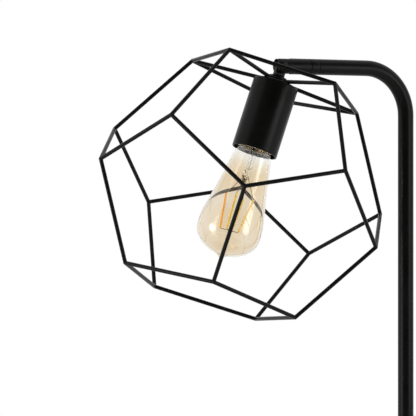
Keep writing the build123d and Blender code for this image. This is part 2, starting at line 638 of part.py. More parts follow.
# ------------------------------------------------------------------ bulb
def bulb_cap():
    """Screw cap of thin brass with round threads."""
    outer = BULB_CAP_RADIUS
    cap = disc(outer, BULB_CAP_RIM, BULB_CAP_TOP)
    for turn in range(THREAD_COUNT):
        level = BULB_CAP_TOP - THREAD_START - turn * THREAD_PITCH
        groove = Torus(outer + THREAD_PITCH / 4 - THREAD_DEPTH / 2, THREAD_PITCH / 4 + THREAD_DEPTH / 2)
        cap -= Pos(0, 0, level) * groove
    bore = outer - THREAD_DEPTH - BULB_CAP_WALL
    cap -= disc(bore, BULB_CAP_RIM - CUT, BULB_CAP_TOP - BULB_CAP_WALL)
    return cap - disc(INSULATOR_TIP_RADIUS, BULB_CAP_TOP - CUT, BULB_CAP_TOP + CUT)


def bulb_insulator():
    """Dark glass disc between the cap and the centre contact."""
    wide = BULB_CAP_RADIUS - THREAD_DEPTH
    return Pos(0, 0, BULB_CAP_TOP) * Cone(wide, INSULATOR_TIP_RADIUS, INSULATOR_HEIGHT, align=LOW)


def bulb_contact():
    """Centre contact button."""
    button = disc(BULB_CONTACT_RADIUS, INSULATOR_TOP, BULB_TOP)
    return fillet(button.edges().group_by(Axis.Z)[-1], BULB_CONTACT_HEIGHT / 2)


def bulb_outline(inset):
    """Closed outline of the bulb, drawn a wall's thickness inside the glass when inset is given."""
    seat_top = BULB_CAP_RIM + GLASS_SEAT + inset
    seat = GLASS_SEAT_RADIUS - inset
    neck = (BULB_NECK_RADIUS - inset, BULB_CAP_RIM - BULB_NECK_DROP)
    waist = (BULB_WAIST_RADIUS - inset, BULB_CAP_RIM - BULB_WAIST_DROP)
    belly = (BULB_RADIUS - inset, BULB_CAP_RIM - BULB_BELLY_DROP)
    shoulder = (seat, BULB_CAP_RIM - LOOSE_GAP)
    end = BULB_END_LENGTH - inset
    flare = Spline([shoulder, neck], tangents=[(1, -NECK_FLARE), (NECK_TAPER, -1)])
    cone = Spline([neck, waist, belly], tangents=[(NECK_TAPER, -1), (0, -1)])
    round_end = EllipticalCenterArc((0, belly[1]), belly[0], end, 270, arc_size=90)
    top = Polyline([(0, belly[1] - end), (0, seat_top), (seat, seat_top), shoulder])
    return flare + cone + round_end + top


def bulb_glass():
    """Hollow pear-shaped glass with a small nub at its end, its neck seated in the cap."""
    body = turned(bulb_outline(0))
    end = BULB_CAP_RIM - BULB_BELLY_DROP - BULB_END_LENGTH
    nub = Pos(0, 0, end + GLASS_WALL / 2) * Cone(NUB_END_RADIUS, NUB_RADIUS, NUB_LENGTH, align=HIGH)
    body += nub
    body -= turned(bulb_outline(GLASS_WALL))
    mouth = GLASS_SEAT_RADIUS - GLASS_WALL
    return body - disc(mouth, BULB_CAP_RIM, BULB_CAP_RIM + GLASS_SEAT + CUT)


def bulb_stem():
    """Glass stem: a flare that closes the neck, a tube and a flattened pinch at its end."""
    top = BULB_CAP_RIM + GLASS_SEAT
    flare = GLASS_SEAT_RADIUS - GLASS_WALL - PRESSED_CLEARANCE
    end = BULB_CAP_RIM - STEM_DROP
    body = Pos(0, 0, top) * Cone(STEM_TUBE_RADIUS, flare, STEM_FLARE_HEIGHT, align=HIGH)
    body += disc(STEM_TUBE_RADIUS, end + STEM_PINCH_HEIGHT / 2, top - STEM_FLARE_HEIGHT / 2)
    pinch = Pos(0, 0, end) * Box(2 * STEM_PINCH_RADIUS, STEM_PINCH_THICKNESS, STEM_PINCH_HEIGHT, align=LOW)
    return body + fillet(pinch.edges(), STEM_PINCH_ROUND)


def filament_ends():
    """Upper and lower end of each filament."""
    ends = []
    for index in range(FILAMENT_COUNT):
        angle = radians(FILAMENT_TURN + index * 360 / FILAMENT_COUNT)
        upper = Vector(FILAMENT_TOP_CIRCLE * cos(angle), FILAMENT_TOP_CIRCLE * sin(angle),
                       BULB_CAP_RIM - FILAMENT_TOP_DROP)
        lower = Vector(FILAMENT_END_CIRCLE * cos(angle), FILAMENT_END_CIRCLE * sin(angle),
                       BULB_CAP_RIM - FILAMENT_END_DROP)
        ends.append((upper, lower))
    return ends


def filaments():
    """Straight light-emitting sticks, closer together at their lower ends."""
    return group([rod(upper, lower, FILAMENT_RADIUS) for upper, lower in filament_ends()])


def support_wires():
    """Wires from the end of the stem out to the top of each filament."""
    level = BULB_CAP_RIM - STEM_DROP
    wires = []
    for upper, _ in filament_ends():
        inward = STEM_TUBE_RADIUS / 2 / FILAMENT_TOP_CIRCLE
        start = Vector(upper.X * inward, upper.Y * inward, level)
        wires.append(rod(start, upper + Vector(0, 0, LEAD_RADIUS), LEAD_RADIUS))
    return group(wires)


def end_wire():
    """Cross of thin wire that joins the lower ends of the filaments."""
    ends = [lower for _, lower in filament_ends()]
    level = ends[0].Z - LEAD_RADIUS
    corners = [Vector(point.X, point.Y, level) for point in ends]
    cross = rod(corners[0], corners[2], LEAD_RADIUS)
    return cross + rod(corners[1], corners[3], LEAD_RADIUS)


# ------------------------------------------------------------------ the lamp
def stand_nodes():
    """Pieces of the stand, in the lamp's frame."""
    makers = (base_cover, base_weight, base_bottom_plate, base_pad, base_stud, base_washer, base_nut,
              pole_collar, cord_inlet, tube_inserts, joint_studs, arm_tube, arm_insert, swivel_stud,
              swivel_collar, swivel_clevis, pivot_screw, pivot_nut, pivot_washers, lamp_flex)
    nodes = {maker.__name__: maker() for maker in makers}
    nodes["pole_lower"] = pole_tube(BASE_HEIGHT, LOWER_LENGTH)
    nodes["pole_middle"] = pole_tube(MIDDLE_START, MIDDLE_LENGTH)
    return nodes


def head_nodes():
    """Pieces of the tilting head and the bulb, in the head's frame."""
    makers = (swivel_lug, cage_hub, socket_sleeve, lock_washer, stem_nut, socket_cap, socket_body,
              screw_shell, centre_contact, terminals, terminal_screws, head_flex, flex_cores, bulb_cap,
              bulb_insulator, bulb_contact, bulb_glass, bulb_stem, filaments, support_wires, end_wire)
    return {maker.__name__: maker() for maker in makers} | cage_groups()


def main():
    """Builds every node and writes it to its own file."""
    os.makedirs("parts", exist_ok=True)
    nodes = stand_nodes()
    nodes.update({name: HEAD_PLACE * shape for name, shape in head_nodes().items()})
    for name, shape in nodes.items():
        export_step(shape, f"parts/{name}.step")


main()
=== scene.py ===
"""Looks of the wire cage floor lamp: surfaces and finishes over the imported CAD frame.

Places are in millimetres in the lamp's frame: the origin is on the floor under the pole, +Z is up
and the arm reaches out along -X.  Pieces of the tilting head are drawn in the head's own frame,
with the tilt pivot at its origin and +Z along the socket's axis, and are then laid at rest.
"""
from __future__ import annotations

import json
import logging
import math
from dataclasses import dataclass
from enum import Enum
from typing import Any, Iterable, Sequence, TypeAlias

import bpy
import numpy as np
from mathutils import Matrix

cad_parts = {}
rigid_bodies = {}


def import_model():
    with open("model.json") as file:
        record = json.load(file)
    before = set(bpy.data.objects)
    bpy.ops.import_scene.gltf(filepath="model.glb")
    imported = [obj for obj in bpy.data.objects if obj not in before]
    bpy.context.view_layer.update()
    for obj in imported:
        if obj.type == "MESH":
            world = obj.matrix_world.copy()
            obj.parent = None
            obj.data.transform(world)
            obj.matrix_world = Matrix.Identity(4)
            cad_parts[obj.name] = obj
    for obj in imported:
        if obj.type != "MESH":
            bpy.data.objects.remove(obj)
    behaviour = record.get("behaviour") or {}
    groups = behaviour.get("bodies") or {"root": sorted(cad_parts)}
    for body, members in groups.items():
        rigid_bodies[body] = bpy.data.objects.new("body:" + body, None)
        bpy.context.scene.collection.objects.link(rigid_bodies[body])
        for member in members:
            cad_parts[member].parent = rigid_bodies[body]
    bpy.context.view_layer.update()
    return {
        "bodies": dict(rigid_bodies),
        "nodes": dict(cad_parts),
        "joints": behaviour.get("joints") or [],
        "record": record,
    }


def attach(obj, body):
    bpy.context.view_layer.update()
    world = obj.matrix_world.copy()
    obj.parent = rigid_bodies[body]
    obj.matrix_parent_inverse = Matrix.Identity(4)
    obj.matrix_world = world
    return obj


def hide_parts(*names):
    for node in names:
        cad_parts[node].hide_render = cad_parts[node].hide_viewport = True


Spot: TypeAlias = tuple[float, float, float]
Wire: TypeAlias = tuple[np.ndarray, np.ndarray]
Tree: TypeAlias = bpy.types.NodeTree
Socket: TypeAlias = bpy.types.NodeSocket

LOG = logging.getLogger("lamp")
MILLIMETRE = 0.001

ARM_LEVEL = 1500.0
ARM_END = -106.5
PIVOT_REACH = -147.5
REST_TILT = 20.2
TUBE_RADIUS = 8.0
STUD_HOLE = 5.05
THREAD_PITCH = 3.63

PLACES_PER_METRE = 1e8           # corners that share such a place are one vertex
SHARP_ANGLE = math.radians(38)   # edges that turn more than this aren't shaded smooth
BROKEN_ANGLE = math.radians(28)  # edges that turn more than this are broken
BROKEN_SEGMENTS = 3
STEEP = 0.9                      # upright share from which a direction counts as steep
CROWN_ROWS = 7                   # rows of points on the crown at a bar's end
THREAD_ROWS = 110
THREAD_COLUMNS = 72
CLOUD_GRAINS = 14                # grains across a cloud of a finish
CLOUD_RANGE = (0.35, 0.65)       # noise at which a finish has its first and its second colour
NOISE_DETAIL = 3.0


# ---------------------------------------------------------------- shapes as arrays of points
@dataclass(frozen=True)
class Grid:
    """A surface as a grid of points in millimetres.

    Attributes:
        points: Array of rows by columns by three.
        looped: True where the last row joins the first, as on a wall with an outside and an inside.
        hollow: True for the wall of a void, whose faces point into the void.
    """

    points: np.ndarray
    looped: bool = False
    hollow: bool = False

    def faces(self) -> np.ndarray:
        """Corners of the four-sided faces; the columns always close round the axis.

        Returns:
            Four corner numbers for each face, turned so that the face looks outward.
        """
        rows, columns = self.points.shape[:2]
        row = np.arange(rows if self.looped else rows - 1)[:, None]
        column = np.arange(columns)[None, :]
        after = (row + 1) % rows
        beside = (column + 1) % columns
        corners = [row * columns + column, row * columns + beside,
                   after * columns + beside, after * columns + column]
        quads = np.stack(np.broadcast_arrays(*corners), axis=-1).reshape(-1, 4)
        return quads[:, ::-1] if (self.volume(quads) < 0) != self.hollow else quads

    def volume(self, quads: np.ndarray) -> float:
        """Signed volume: the sum of the triple products of every face's two triangles, over six.

        Args:
            quads: Corner numbers of the faces.

        Returns:
            The volume, positive where the faces look outward.
        """
        a, b, c, d = np.moveaxis(self.points.reshape(-1, 3)[quads], 1, 0)
        first = np.einsum("ij,ij->i", a, np.cross(b, c))
        second = np.einsum("ij,ij->i", a, np.cross(c, d))
        return float((first + second).sum() / 6)

    def along_arm(self, level: float) -> Grid:
        """The same surface with its axis laid along +X at a level.

        Args:
            level: Height of the axis.

        Returns:
            The laid surface.
        """
        across, rise, along = np.moveaxis(self.points, -1, 0)
        return Grid(np.stack([along, across, rise + level], axis=-1), self.looped)


def turned(profile: np.ndarray, columns: int, looped: bool = False, hollow: bool = False) -> Grid:
    """Turns a profile about the upright axis.

    The point at row i and angle a is (r_i cos a, r_i sin a, z_i).

    Args:
        profile: Radius and height of each row.
        columns: Points round the axis.
        looped: True where the profile is a closed wall that never meets the axis.
        hollow: True for the wall of a void.

    Returns:
        The turned surface.
    """
    angle = np.linspace(0, 2 * np.pi, columns, endpoint=False)[None, :]
    radius, height = profile[:, 0:1], profile[:, 1:2]
    points = np.stack([radius * np.cos(angle), radius * np.sin(angle),
                       np.broadcast_to(height, (len(profile), columns))], axis=-1)
    return Grid(points, looped, hollow)


def turned_wall(corners: Sequence[Spot], steps: int, columns: int, longest: float = math.inf) -> Grid:
    """Turns a closed wall, given by its corners, about the upright axis.

    Args:
        corners: Radius, height and easing radius of each corner.
        steps: Points on each eased corner.
        columns: Points round the axis.
        longest: Longest side that isn't divided.

    Returns:
        The closed surface.
    """
    profile = eased(corners, steps, closed=True)
    return turned(spaced(profile, longest, closed=True), columns, looped=True)


def eased(corners: Sequence[Spot], steps: int = 6, closed: bool = False) -> np.ndarray:
    """Profile through corners, each eased by an arc of its own radius.

    An arc's centre lies on the bisector of its corner, and the arc touches both sides.

    Args:
        corners: Radius, height and easing radius of each corner.
        steps: Points on each arc.
        closed: True where the last corner leads back to the first.

    Returns:
        Radius and height of every row.
    """
    spots = np.array(corners, float)
    rows: list[np.ndarray] = []
    for index, (x, z, ease) in enumerate(spots):
        is_end = not closed and index in (0, len(spots) - 1)
        corner = np.array([x, z])
        if ease <= 0 or is_end:
            rows.append(corner[None, :])
            continue
        back = spots[index - 1, :2] - corner
        ahead = spots[(index + 1) % len(spots), :2] - corner
        back, ahead = back / np.linalg.norm(back), ahead / np.linalg.norm(ahead)
        half = math.acos(float(np.clip(back @ ahead, -1, 1))) / 2
        reach = ease / math.tan(half)
        centre = corner + (back + ahead) / np.linalg.norm(back + ahead) * ease / math.sin(half)
        first = corner + back * reach - centre
        last = corner + ahead * reach - centre
        share = np.linspace(0, 1, steps)[:, None]
        sweep = math.pi - 2 * half
        arc = (np.sin((1 - share) * sweep) * first + np.sin(share * sweep) * last) / math.sin(sweep)
        rows.append(centre + arc)
    return np.concatenate(rows)


def spaced(profile: np.ndarray, step: float, closed: bool = False) -> np.ndarray:
    """Profile with points added evenly along its longer sides.

    Args:
        profile: Radius and height of each row.
        step: Longest way from a point to the next.
        closed: True where the last row leads back to the first.

    Returns:
        Radius and height of every row.
    """
    ends = np.concatenate([profile[1:], profile[:1]]) if closed else profile[1:]
    rows: list[np.ndarray] = []
    for start, end in zip(profile, ends):
        count = max(1, math.ceil(float(np.linalg.norm(end - start)) / step))
        rows.append(start + (end - start) * np.linspace(0, 1, count, endpoint=False)[:, None])
    return np.concatenate(rows if closed else rows + [profile[-1:]])


def side_frame(direction: np.ndarray) -> tuple[np.ndarray, np.ndarray]:
    """Cross products that give two unit directions square to a direction and to each other.

    Args:
        direction: A unit direction.

    Returns:
        The two directions.
    """
    is_steep = abs(direction[2]) >= STEEP
    helper = np.array([1.0, 0.0, 0.0]) if is_steep else np.array([0.0, 0.0, 1.0])
    first = np.cross(helper, direction)
    first /= np.linalg.norm(first)
    return first, np.cross(direction, first)


def bar(start: Sequence[float], end: Sequence[float], radius: float, columns: int = 20,
        crown: float = 1.0) -> Grid:
    """Round straight bar whose ends are crowned.

    A quarter oval, a straight side and a quarter oval are turned about the line from start to end,
    which are the bar's tips less its crowns.

    Args:
        start: Centre of the first end.
        end: Centre of the last end.
        radius: Radius of the bar.
        columns: Points round the bar.
        crown: Height of each end's crown in radii.

    Returns:
        The closed surface.
    """
    start, end = np.asarray(start, float), np.asarray(end, float)
    along = (end - start) / np.linalg.norm(end - start)
    first, second = side_frame(along)
    turn = np.linspace(0, np.pi / 2, CROWN_ROWS)
    wide = np.concatenate([np.sin(turn), np.cos(turn)]) * radius
    lead = np.concatenate([-np.cos(turn), np.sin(turn)]) * radius * crown
    at_start = (np.arange(2 * CROWN_ROWS) < CROWN_ROWS)[:, None]
    middle = np.where(at_start, start, end) + lead[:, None] * along
    angle = np.linspace(0, 2 * np.pi, columns, endpoint=False)
    circle = np.cos(angle)[:, None] * first + np.sin(angle)[:, None] * second
    return Grid(middle[:, None, :] + wide[:, None, None] * circle[None, :, :])


def carried(line: np.ndarray, rings: np.ndarray, columns: int) -> Grid:
    """Wall of a bent tube: circles carried along a line in the plane of the arm and the pole.

    Row i is centred on the line at its own station, and its plane is square to the line there.

    Args:
        line: Points of the centre line.
        rings: Station on the line and radius of each row, out along the outside and back inside.
        columns: Points round the tube.

    Returns:
        The closed wall.
    """
    station, radius = rings[:, 0].astype(int), rings[:, 1]
    along = np.gradient(line, axis=0)
    along /= np.linalg.norm(along, axis=1)[:, None]
    across = np.array([0.0, 1.0, 0.0])
    normal = np.cross(across, along)
    angle = np.linspace(0, 2 * np.pi, columns, endpoint=False)[None, :, None]
    circle = np.cos(angle) * normal[station][:, None, :] + np.sin(angle) * across
    return Grid(line[station][:, None, :] + radius[:, None, None] * circle, looped=True)


def threaded(top: float, end: float, crest: float, depth: float, sheet: float, pitch: float) -> Grid:
    """Tube of thin sheet pressed into a round screw thread.

    At height z and angle a the outside has radius crest - depth/2 + depth/2 cos(2 pi z/pitch - a),
    fading to the crest within one pitch of either end, and the inside lies a sheet within it.

    Args:
        top: Upper end.
        end: Lower end.
        crest: Largest radius.
        depth: Height of the thread.
        sheet: Thickness of the sheet.
        pitch: Rise of one turn.

    Returns:
        The closed wall.
    """
    height = np.linspace(top, end, THREAD_ROWS)
    height = np.concatenate([height, height[::-1]])[:, None]
    inset = np.repeat([0.0, sheet], THREAD_ROWS)[:, None]
    angle = np.linspace(0, 2 * np.pi, THREAD_COLUMNS, endpoint=False)[None, :]
    fade = np.clip(np.minimum(top - height, height - end) / pitch, 0, 1)
    wave = depth / 2 * (1 - np.cos(2 * np.pi * height / pitch - angle)) * fade
    radius = crest - inset - wave
    points = np.stack([radius * np.cos(angle), radius * np.sin(angle),
                       np.broadcast_to(height, radius.shape)], axis=-1)
    return Grid(points, looped=True)


def unit(radius: float, height: float) -> np.ndarray:
    """Unit direction in the plane of a profile."""
    return np.array([radius, height]) / math.hypot(radius, height)


def cubic(start: np.ndarray, end: np.ndarray, leaving: np.ndarray, arriving: np.ndarray,
          count: int) -> np.ndarray:
    """Cubic curve between two points with given directions at its ends, each scaled to the chord.

    The four weights are the cubic Hermite polynomials of the share of the way.

    Args:
        start: First point.
        end: Last point.
        leaving: Direction at the first point.
        arriving: Direction at the last point.
        count: Points on the curve.

    Returns:
        The curve's points.
    """
    share = np.linspace(0, 1, count)[:, None]
    chord = np.linalg.norm(end - start)
    ends = (2 * share ** 3 - 3 * share ** 2 + 1) * start
    slopes = (share ** 3 - 2 * share ** 2 + share) * leaving * chord
    return (ends + slopes + (3 * share ** 2 - 2 * share ** 3) * end
            + (share ** 3 - share ** 2) * arriving * chord)


@dataclass(frozen=True)
class Place:
    """Where a piece's own frame lies in the lamp: turned about +Y, then moved.

    Attributes:
        origin: Place of the frame's origin in millimetres.
        tilt: Turn about +Y in degrees.
    """

    origin: Spot = (0.0, 0.0, 0.0)
    tilt: float = 0.0

    def lay(self, points: np.ndarray) -> np.ndarray:
        """Turns points about +Y by the tilt's cosine and sine, and moves them to the origin.

        Args:
            points: Places in the frame.

        Returns:
            Places in the lamp.
        """
        cosine, sine = math.cos(math.radians(self.tilt)), math.sin(math.radians(self.tilt))
        matrix = np.array([[cosine, 0, sine], [0, 1, 0], [-sine, 0, cosine]])
        return points @ matrix.T + np.array(self.origin)


AS_DRAWN = Place()
HEAD_AT_REST = Place((PIVOT_REACH, 0.0, ARM_LEVEL), REST_TILT)


class Body(Enum):
    """The rigid bodies of the lamp that a piece can ride on."""

    STAND = "stand"
    HEAD = "head"
    BULB = "bulb"

    def place(self) -> Place:
        """Where the frame that the body's pieces are drawn in lies at rest."""
        return AS_DRAWN if self is Body.STAND else HEAD_AT_REST


# ---------------------------------------------------------------- pieces in the scene
def new_object(name: str, data: bpy.types.ID) -> bpy.types.Object:
    """Puts new data in the scene as an object at the origin.

    Args:
        name: Name of the object.
        data: Its mesh, lamp or camera.

    Returns:
        The object.
    """
    thing = bpy.data.objects.new(name, data)
    bpy.context.scene.collection.objects.link(thing)
    return thing


def mesh_from(name: str, grids: Iterable[Grid], place: Place = AS_DRAWN) -> bpy.types.Mesh:
    """One mesh of several closed surfaces, in metres, its poles merged.

    Args:
        name: Name of the mesh.
        grids: The surfaces.
        place: Where their frame lies.

    Returns:
        The mesh, shaded smooth with its sharp edges kept.
    """
    corners: list[np.ndarray] = []
    faces: list[np.ndarray] = []
    count = 0
    for grid in grids:
        spots = grid.points.reshape(-1, 3)
        corners.append(spots)
        faces.append(grid.faces() + count)
        count += len(spots)
    points = place.lay(np.concatenate(corners)) * MILLIMETRE
    return solid_mesh(name, points, np.concatenate(faces))


def solid_mesh(name: str, points: np.ndarray, faces: np.ndarray) -> bpy.types.Mesh:
    """Mesh of faces whose corners at the same place are one vertex.

    Places are rounded to a hundredth of a micron and numbered once each; a face with a corner
    that repeats its neighbour loses that corner.

    Args:
        name: Name of the mesh.
        points: Corners in metres.
        faces: Corner numbers of each face, three or four to a row.

    Returns:
        The mesh.
    """
    keys = np.round(points * PLACES_PER_METRE).astype(np.int64)
    _, first, number = np.unique(keys, axis=0, return_index=True, return_inverse=True)
    faces = number.reshape(-1)[faces]
    kept = faces != np.roll(faces, 1, axis=1)
    sizes = kept.sum(axis=1)
    faces, kept, sizes = faces[sizes > 2], kept[sizes > 2], sizes[sizes > 2]
    starts = np.concatenate([[0], np.cumsum(sizes)[:-1]]).astype(np.int32)
    mesh = bpy.data.meshes.new(name)
    mesh.vertices.add(len(first))
    mesh.vertices.foreach_set("co", points[first].astype(np.float32).reshape(-1))
    mesh.loops.add(int(sizes.sum()))
    mesh.loops.foreach_set("vertex_index", faces[kept].astype(np.int32))
    mesh.polygons.add(len(faces))
    mesh.polygons.foreach_set("loop_start", starts)
    mesh.update(calc_edges=True)
    mesh.validate()
    mesh.polygons.foreach_set("use_smooth", np.ones(len(mesh.polygons), bool))
    mesh.set_sharp_from_angle(angle=SHARP_ANGLE)
    return mesh


def add_piece(mesh: bpy.types.Mesh, finish: Finish, body: Body, node: str) -> bpy.types.Object:
    """Puts a mesh in the scene as a piece of the lamp, in the place of a CAD node.

    Args:
        mesh: Its mesh, in place.
        finish: What it is made of.
        body: The body it rides on.
        node: The CAD node it stands for.

    Returns:
        The new object.
    """
    piece = new_object(mesh.name, mesh)
    mesh.materials.append(finish.material())
    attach(piece, body.value)
    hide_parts(node)
    LOG.info("%s rides on %s, %d faces, for %s", piece.name, body.value, len(mesh.polygons), node)
    return piece


def build_piece(name: str, grids: Iterable[Grid], finish: Finish, body: Body, node: str) -> bpy.types.Object:
    """Builds a piece from closed surfaces drawn in its body's own frame.

    Args:
        name: Name of the piece.
        grids: Its surfaces.
        finish: What it is made of.
        body: The body it rides on.
        node: The CAD node it stands for.

    Returns:
        The new piece.
    """
    return add_piece(mesh_from(name, grids, body.place()), finish, body, node)


def refined(frame: dict[str, Any], node: str, name: str, finish: Finish, body: Body,
            edge: float) -> bpy.types.Object:
    """Stands a merged copy of a CAD node in its place, its edges finely broken.

    Args:
        frame: The loaded frame.
        node: The node to copy.
        name: Name of the new piece.
        finish: What it is made of.
        body: The body it rides on.
        edge: Width of the broken edges in millimetres.

    Returns:
        The new piece.
    """
    source = frame["nodes"][node].data
    points = np.empty(len(source.vertices) * 3, np.float32)
    source.vertices.foreach_get("co", points)
    corners = np.empty(len(source.loops), np.int32)
    source.loops.foreach_get("vertex_index", corners)
    mesh = solid_mesh(name, points.reshape(-1, 3).astype(float), corners.reshape(-1, 3))
    piece = add_piece(mesh, finish, body, node)
    soften(piece, edge)
    return piece


def soften(piece: bpy.types.Object, width: float) -> None:
    """Breaks a piece's edges with a fine rounding.

    Args:
        piece: The piece.
        width: Width of the rounding in millimetres.
    """
    edge = piece.modifiers.new("broken edges", "BEVEL")
    edge.width = width * MILLIMETRE
    edge.segments = BROKEN_SEGMENTS
    edge.limit_method = "ANGLE"
    edge.angle_limit = BROKEN_ANGLE
    edge.harden_normals = True


def dress(frame: dict[str, Any], finish: Finish, *nodes: str) -> None:
    """Gives carried-over CAD nodes their finish.

    Args:
        frame: The loaded frame.
        finish: What they are made of.
        *nodes: Names of the nodes.
    """
    for name in nodes:
        for slot in frame["nodes"][name].material_slots:
            slot.material = finish.material()
        LOG.info("%s keeps its shape, in %s", name, finish.slot)


# ---------------------------------------------------------------- shader nodes
def paint(colour: str) -> tuple[float, float, float, float]:
    """Linear colour by the standard curve: a power of 2.4 above a short straight start.

    Args:
        colour: The sRGB value, as # and six hex digits.

    Returns:
        Red, green, blue and a full alpha.
    """
    parts = [int(colour[index:index + 2], 16) / 255 for index in (1, 3, 5)]
    red, green, blue = (part / 12.92 if part <= 0.04045 else ((part + 0.055) / 1.055) ** 2.4
                        for part in parts)
    return red, green, blue, 1.0


def add_node(tree: Tree, kind: str, settings: dict[str, Any] | None = None, **values: Any) -> bpy.types.Node:
    """Adds a shader node with its settings, and fills its sockets.

    Args:
        tree: The node tree.
        kind: The node's type, less the ShaderNode that every type starts with.
        settings: Its properties.
        **values: A number, a colour or another node's output for each socket, named in small
            letters with _ for a space, or with a number for a socket that shares its name.

    Returns:
        The node.
    """
    node = tree.nodes.new("ShaderNode" + kind)
    for name, value in (settings or {}).items():
        setattr(node, name, value)
    sockets = {socket.name.lower().replace(" ", "_"): socket for socket in reversed(node.inputs)}
    sockets.update({f"in_{index}": socket for index, socket in enumerate(node.inputs)})
    for name, value in values.items():
        if isinstance(value, bpy.types.NodeSocket):
            tree.links.new(value, sockets[name])
        else:
            sockets[name].default_value = value
    return node


def fresh_tree(owner: bpy.types.ID) -> Tree:
    """Empty node tree of a material, a world or a lamp.

    Args:
        owner: What the nodes belong to.

    Returns:
        The tree.
    """
    owner.use_nodes = True
    owner.node_tree.nodes.clear()
    return owner.node_tree


def blended(tree: Tree, share: Socket, first: str, second: str) -> Socket:
    """Straight mix of two colours.

    Args:
        tree: The node tree.
        share: Share of the second colour.
        first: First colour, in hex.
        second: Second colour, in hex.

    Returns:
        The mixed colour.
    """
    mix = add_node(tree, "Mix", {"data_type": "RGBA"}, in_0=share, in_6=paint(first), in_7=paint(second))
    return mix.outputs[2]


def of_two(tree: Tree, operation: str, first: Socket, second: Socket) -> Socket:
    """Result of a sum done on two values.

    Args:
        tree: The node tree.
        operation: Name of the sum, such as MULTIPLY.
        first: First value.
        second: Second value.

    Returns:
        The result.
    """
    return add_node(tree, "Math", {"operation": operation}, in_0=first, in_1=second).outputs[0]


def seen_by_eye(tree: Tree) -> Socket:
    """One where the surface is seen directly, in shine or through glass, and nought elsewhere.

    Args:
        tree: The node tree.

    Returns:
        The largest of the three kinds of ray.
    """
    path = add_node(tree, "LightPath").outputs
    direct = of_two(tree, "MAXIMUM", path["Is Camera Ray"], path["Is Glossy Ray"])
    return of_two(tree, "MAXIMUM", direct, path["Is Transmission Ray"])


# ---------------------------------------------------------------- finishes
@dataclass(frozen=True)
class Finish:
    """What a piece is made of.

    Attributes:
        slot: The record's material slot.
        colour: Colour of the surface.
        shade: Second colour, where the surface varies.
        roughness: Mean roughness of the shine.
        spread: How far the roughness varies either way.
        grain: Size of the surface's grain in millimetres.
        relief: Height of the grain in millimetres.
        metallic: One for bare metal, and nought for anything else.
        specular: Strength of the shine of what isn't metal, half for most.
        ior: Index of refraction.
        glow: Light that the surface gives out by itself, painted light on a thing that is no lamp.
    """

    slot: str
    colour: str
    shade: str
    roughness: float
    spread: float = 0.04
    grain: float = 1.0
    relief: float = 0.01
    metallic: float = 0.0
    specular: float = 0.5
    ior: float = 1.5
    glow: float = 0.0

    def material(self) -> bpy.types.Material:
        """The finish's material, made once."""
        return bpy.data.materials.get(self.name()) or self.make()

    def name(self) -> str:
        """Name of the material, from the finish's own class and colour."""
        return f"{type(self).__name__}_{self.colour[1:]}"

    def make(self) -> bpy.types.Material:
        """Makes the material, its patterns placed by the lamp's own frame.

        Returns:
            The material.
        """
        material = bpy.data.materials.new(self.name())
        tree = fresh_tree(material)
        shader = self.shader(tree, add_node(tree, "TexCoord").outputs["Object"])
        add_node(tree, "OutputMaterial", surface=shader.outputs[0])
        return material

    def relieved(self, tree: Tree, height: Socket) -> Socket:
        """Normal of a surface whose relief follows a pattern.

        Args:
            tree: The node tree.
            height: The pattern, from nought to one.

        Returns:
            The normal.
        """
        bump = add_node(tree, "Bump", strength=1.0, distance=self.relief * MILLIMETRE, height=height)
        return bump.outputs["Normal"]

    def shader(self, tree: Tree, place: Socket) -> bpy.types.Node:
        """The surface shader: clouds of many grains vary colour and shine, and the grain is the relief.

        Args:
            tree: The node tree.
            place: Place in the lamp.

        Returns:
            The shader node.
        """
        pitch = self.grain * MILLIMETRE
        grain, cloud = (add_node(tree, "TexNoise", vector=place, scale=1 / wide, detail=NOISE_DETAIL)
                        for wide in (pitch, pitch * CLOUD_GRAINS))
        share = add_node(tree, "MapRange", value=cloud.outputs[0], from_min=CLOUD_RANGE[0],
                         from_max=CLOUD_RANGE[1]).outputs[0]
        rough = add_node(tree, "MapRange", value=share, to_min=self.roughness - self.spread,
                         to_max=self.roughness + self.spread)
        return add_node(tree, "BsdfPrincipled", base_color=blended(tree, share, self.colour, self.shade),
                        metallic=self.metallic, roughness=rough.outputs[0], ior=self.ior,
                        specular_ior_level=self.specular, emission_color=paint(self.colour),
                        emission_strength=self.glow, normal=self.relieved(tree, grain.outputs[0]))


@dataclass(frozen=True)
class PowderCoat(Finish):
    """Black polyester powder coat, sprayed dry and baked: a satin skin with a faint orange peel.

    The peel of a real coat has waves of 1 to 3 mm a few microns high, so highlights are soft and
    slightly broken, and the fine grit between them only widens the shine.
    """

    slot: str = "black_powder_coat"
    colour: str = "#080807"
    shade: str = "#0c0c0b"
    roughness: float = 0.34
    spread: float = 0.03
    grain: float = 1.8
    relief: float = 0.012
    specular: float = 0.105


@dataclass(frozen=True)
class CastIron(Finish):
    """Grey iron as cast in sand: dark, dull and pitted by grains of about a millimetre."""

    slot: str = "cast_iron"
    colour: str = "#3b3a39"
    shade: str = "#575452"
    roughness: float = 0.78
    grain: float = 0.9
    relief: float = 0.12
    metallic: float = 0.6


@dataclass(frozen=True)
class ZincPlate(Finish):
    """Bright zinc plate on turned or stamped steel: a cool silvery skin with cloudy patches."""

    slot: str = "zinc_plated_steel"
    colour: str = "#c3c5c8"
    shade: str = "#aeb0b2"
    roughness: float = 0.34
    spread: float = 0.07
    grain: float = 0.5
    relief: float = 0.006
    metallic: float = 1.0


@dataclass(frozen=True)
class MouldedRubber(Finish):
    """Black natural rubber from an etched mould: matt, with a fine leathery pebble."""

    slot: str = "black_rubber"
    colour: str = "#161616"
    shade: str = "#1e1e1d"
    roughness: float = 0.8
    grain: float = 0.8
    relief: float = 0.05
    specular: float = 0.35


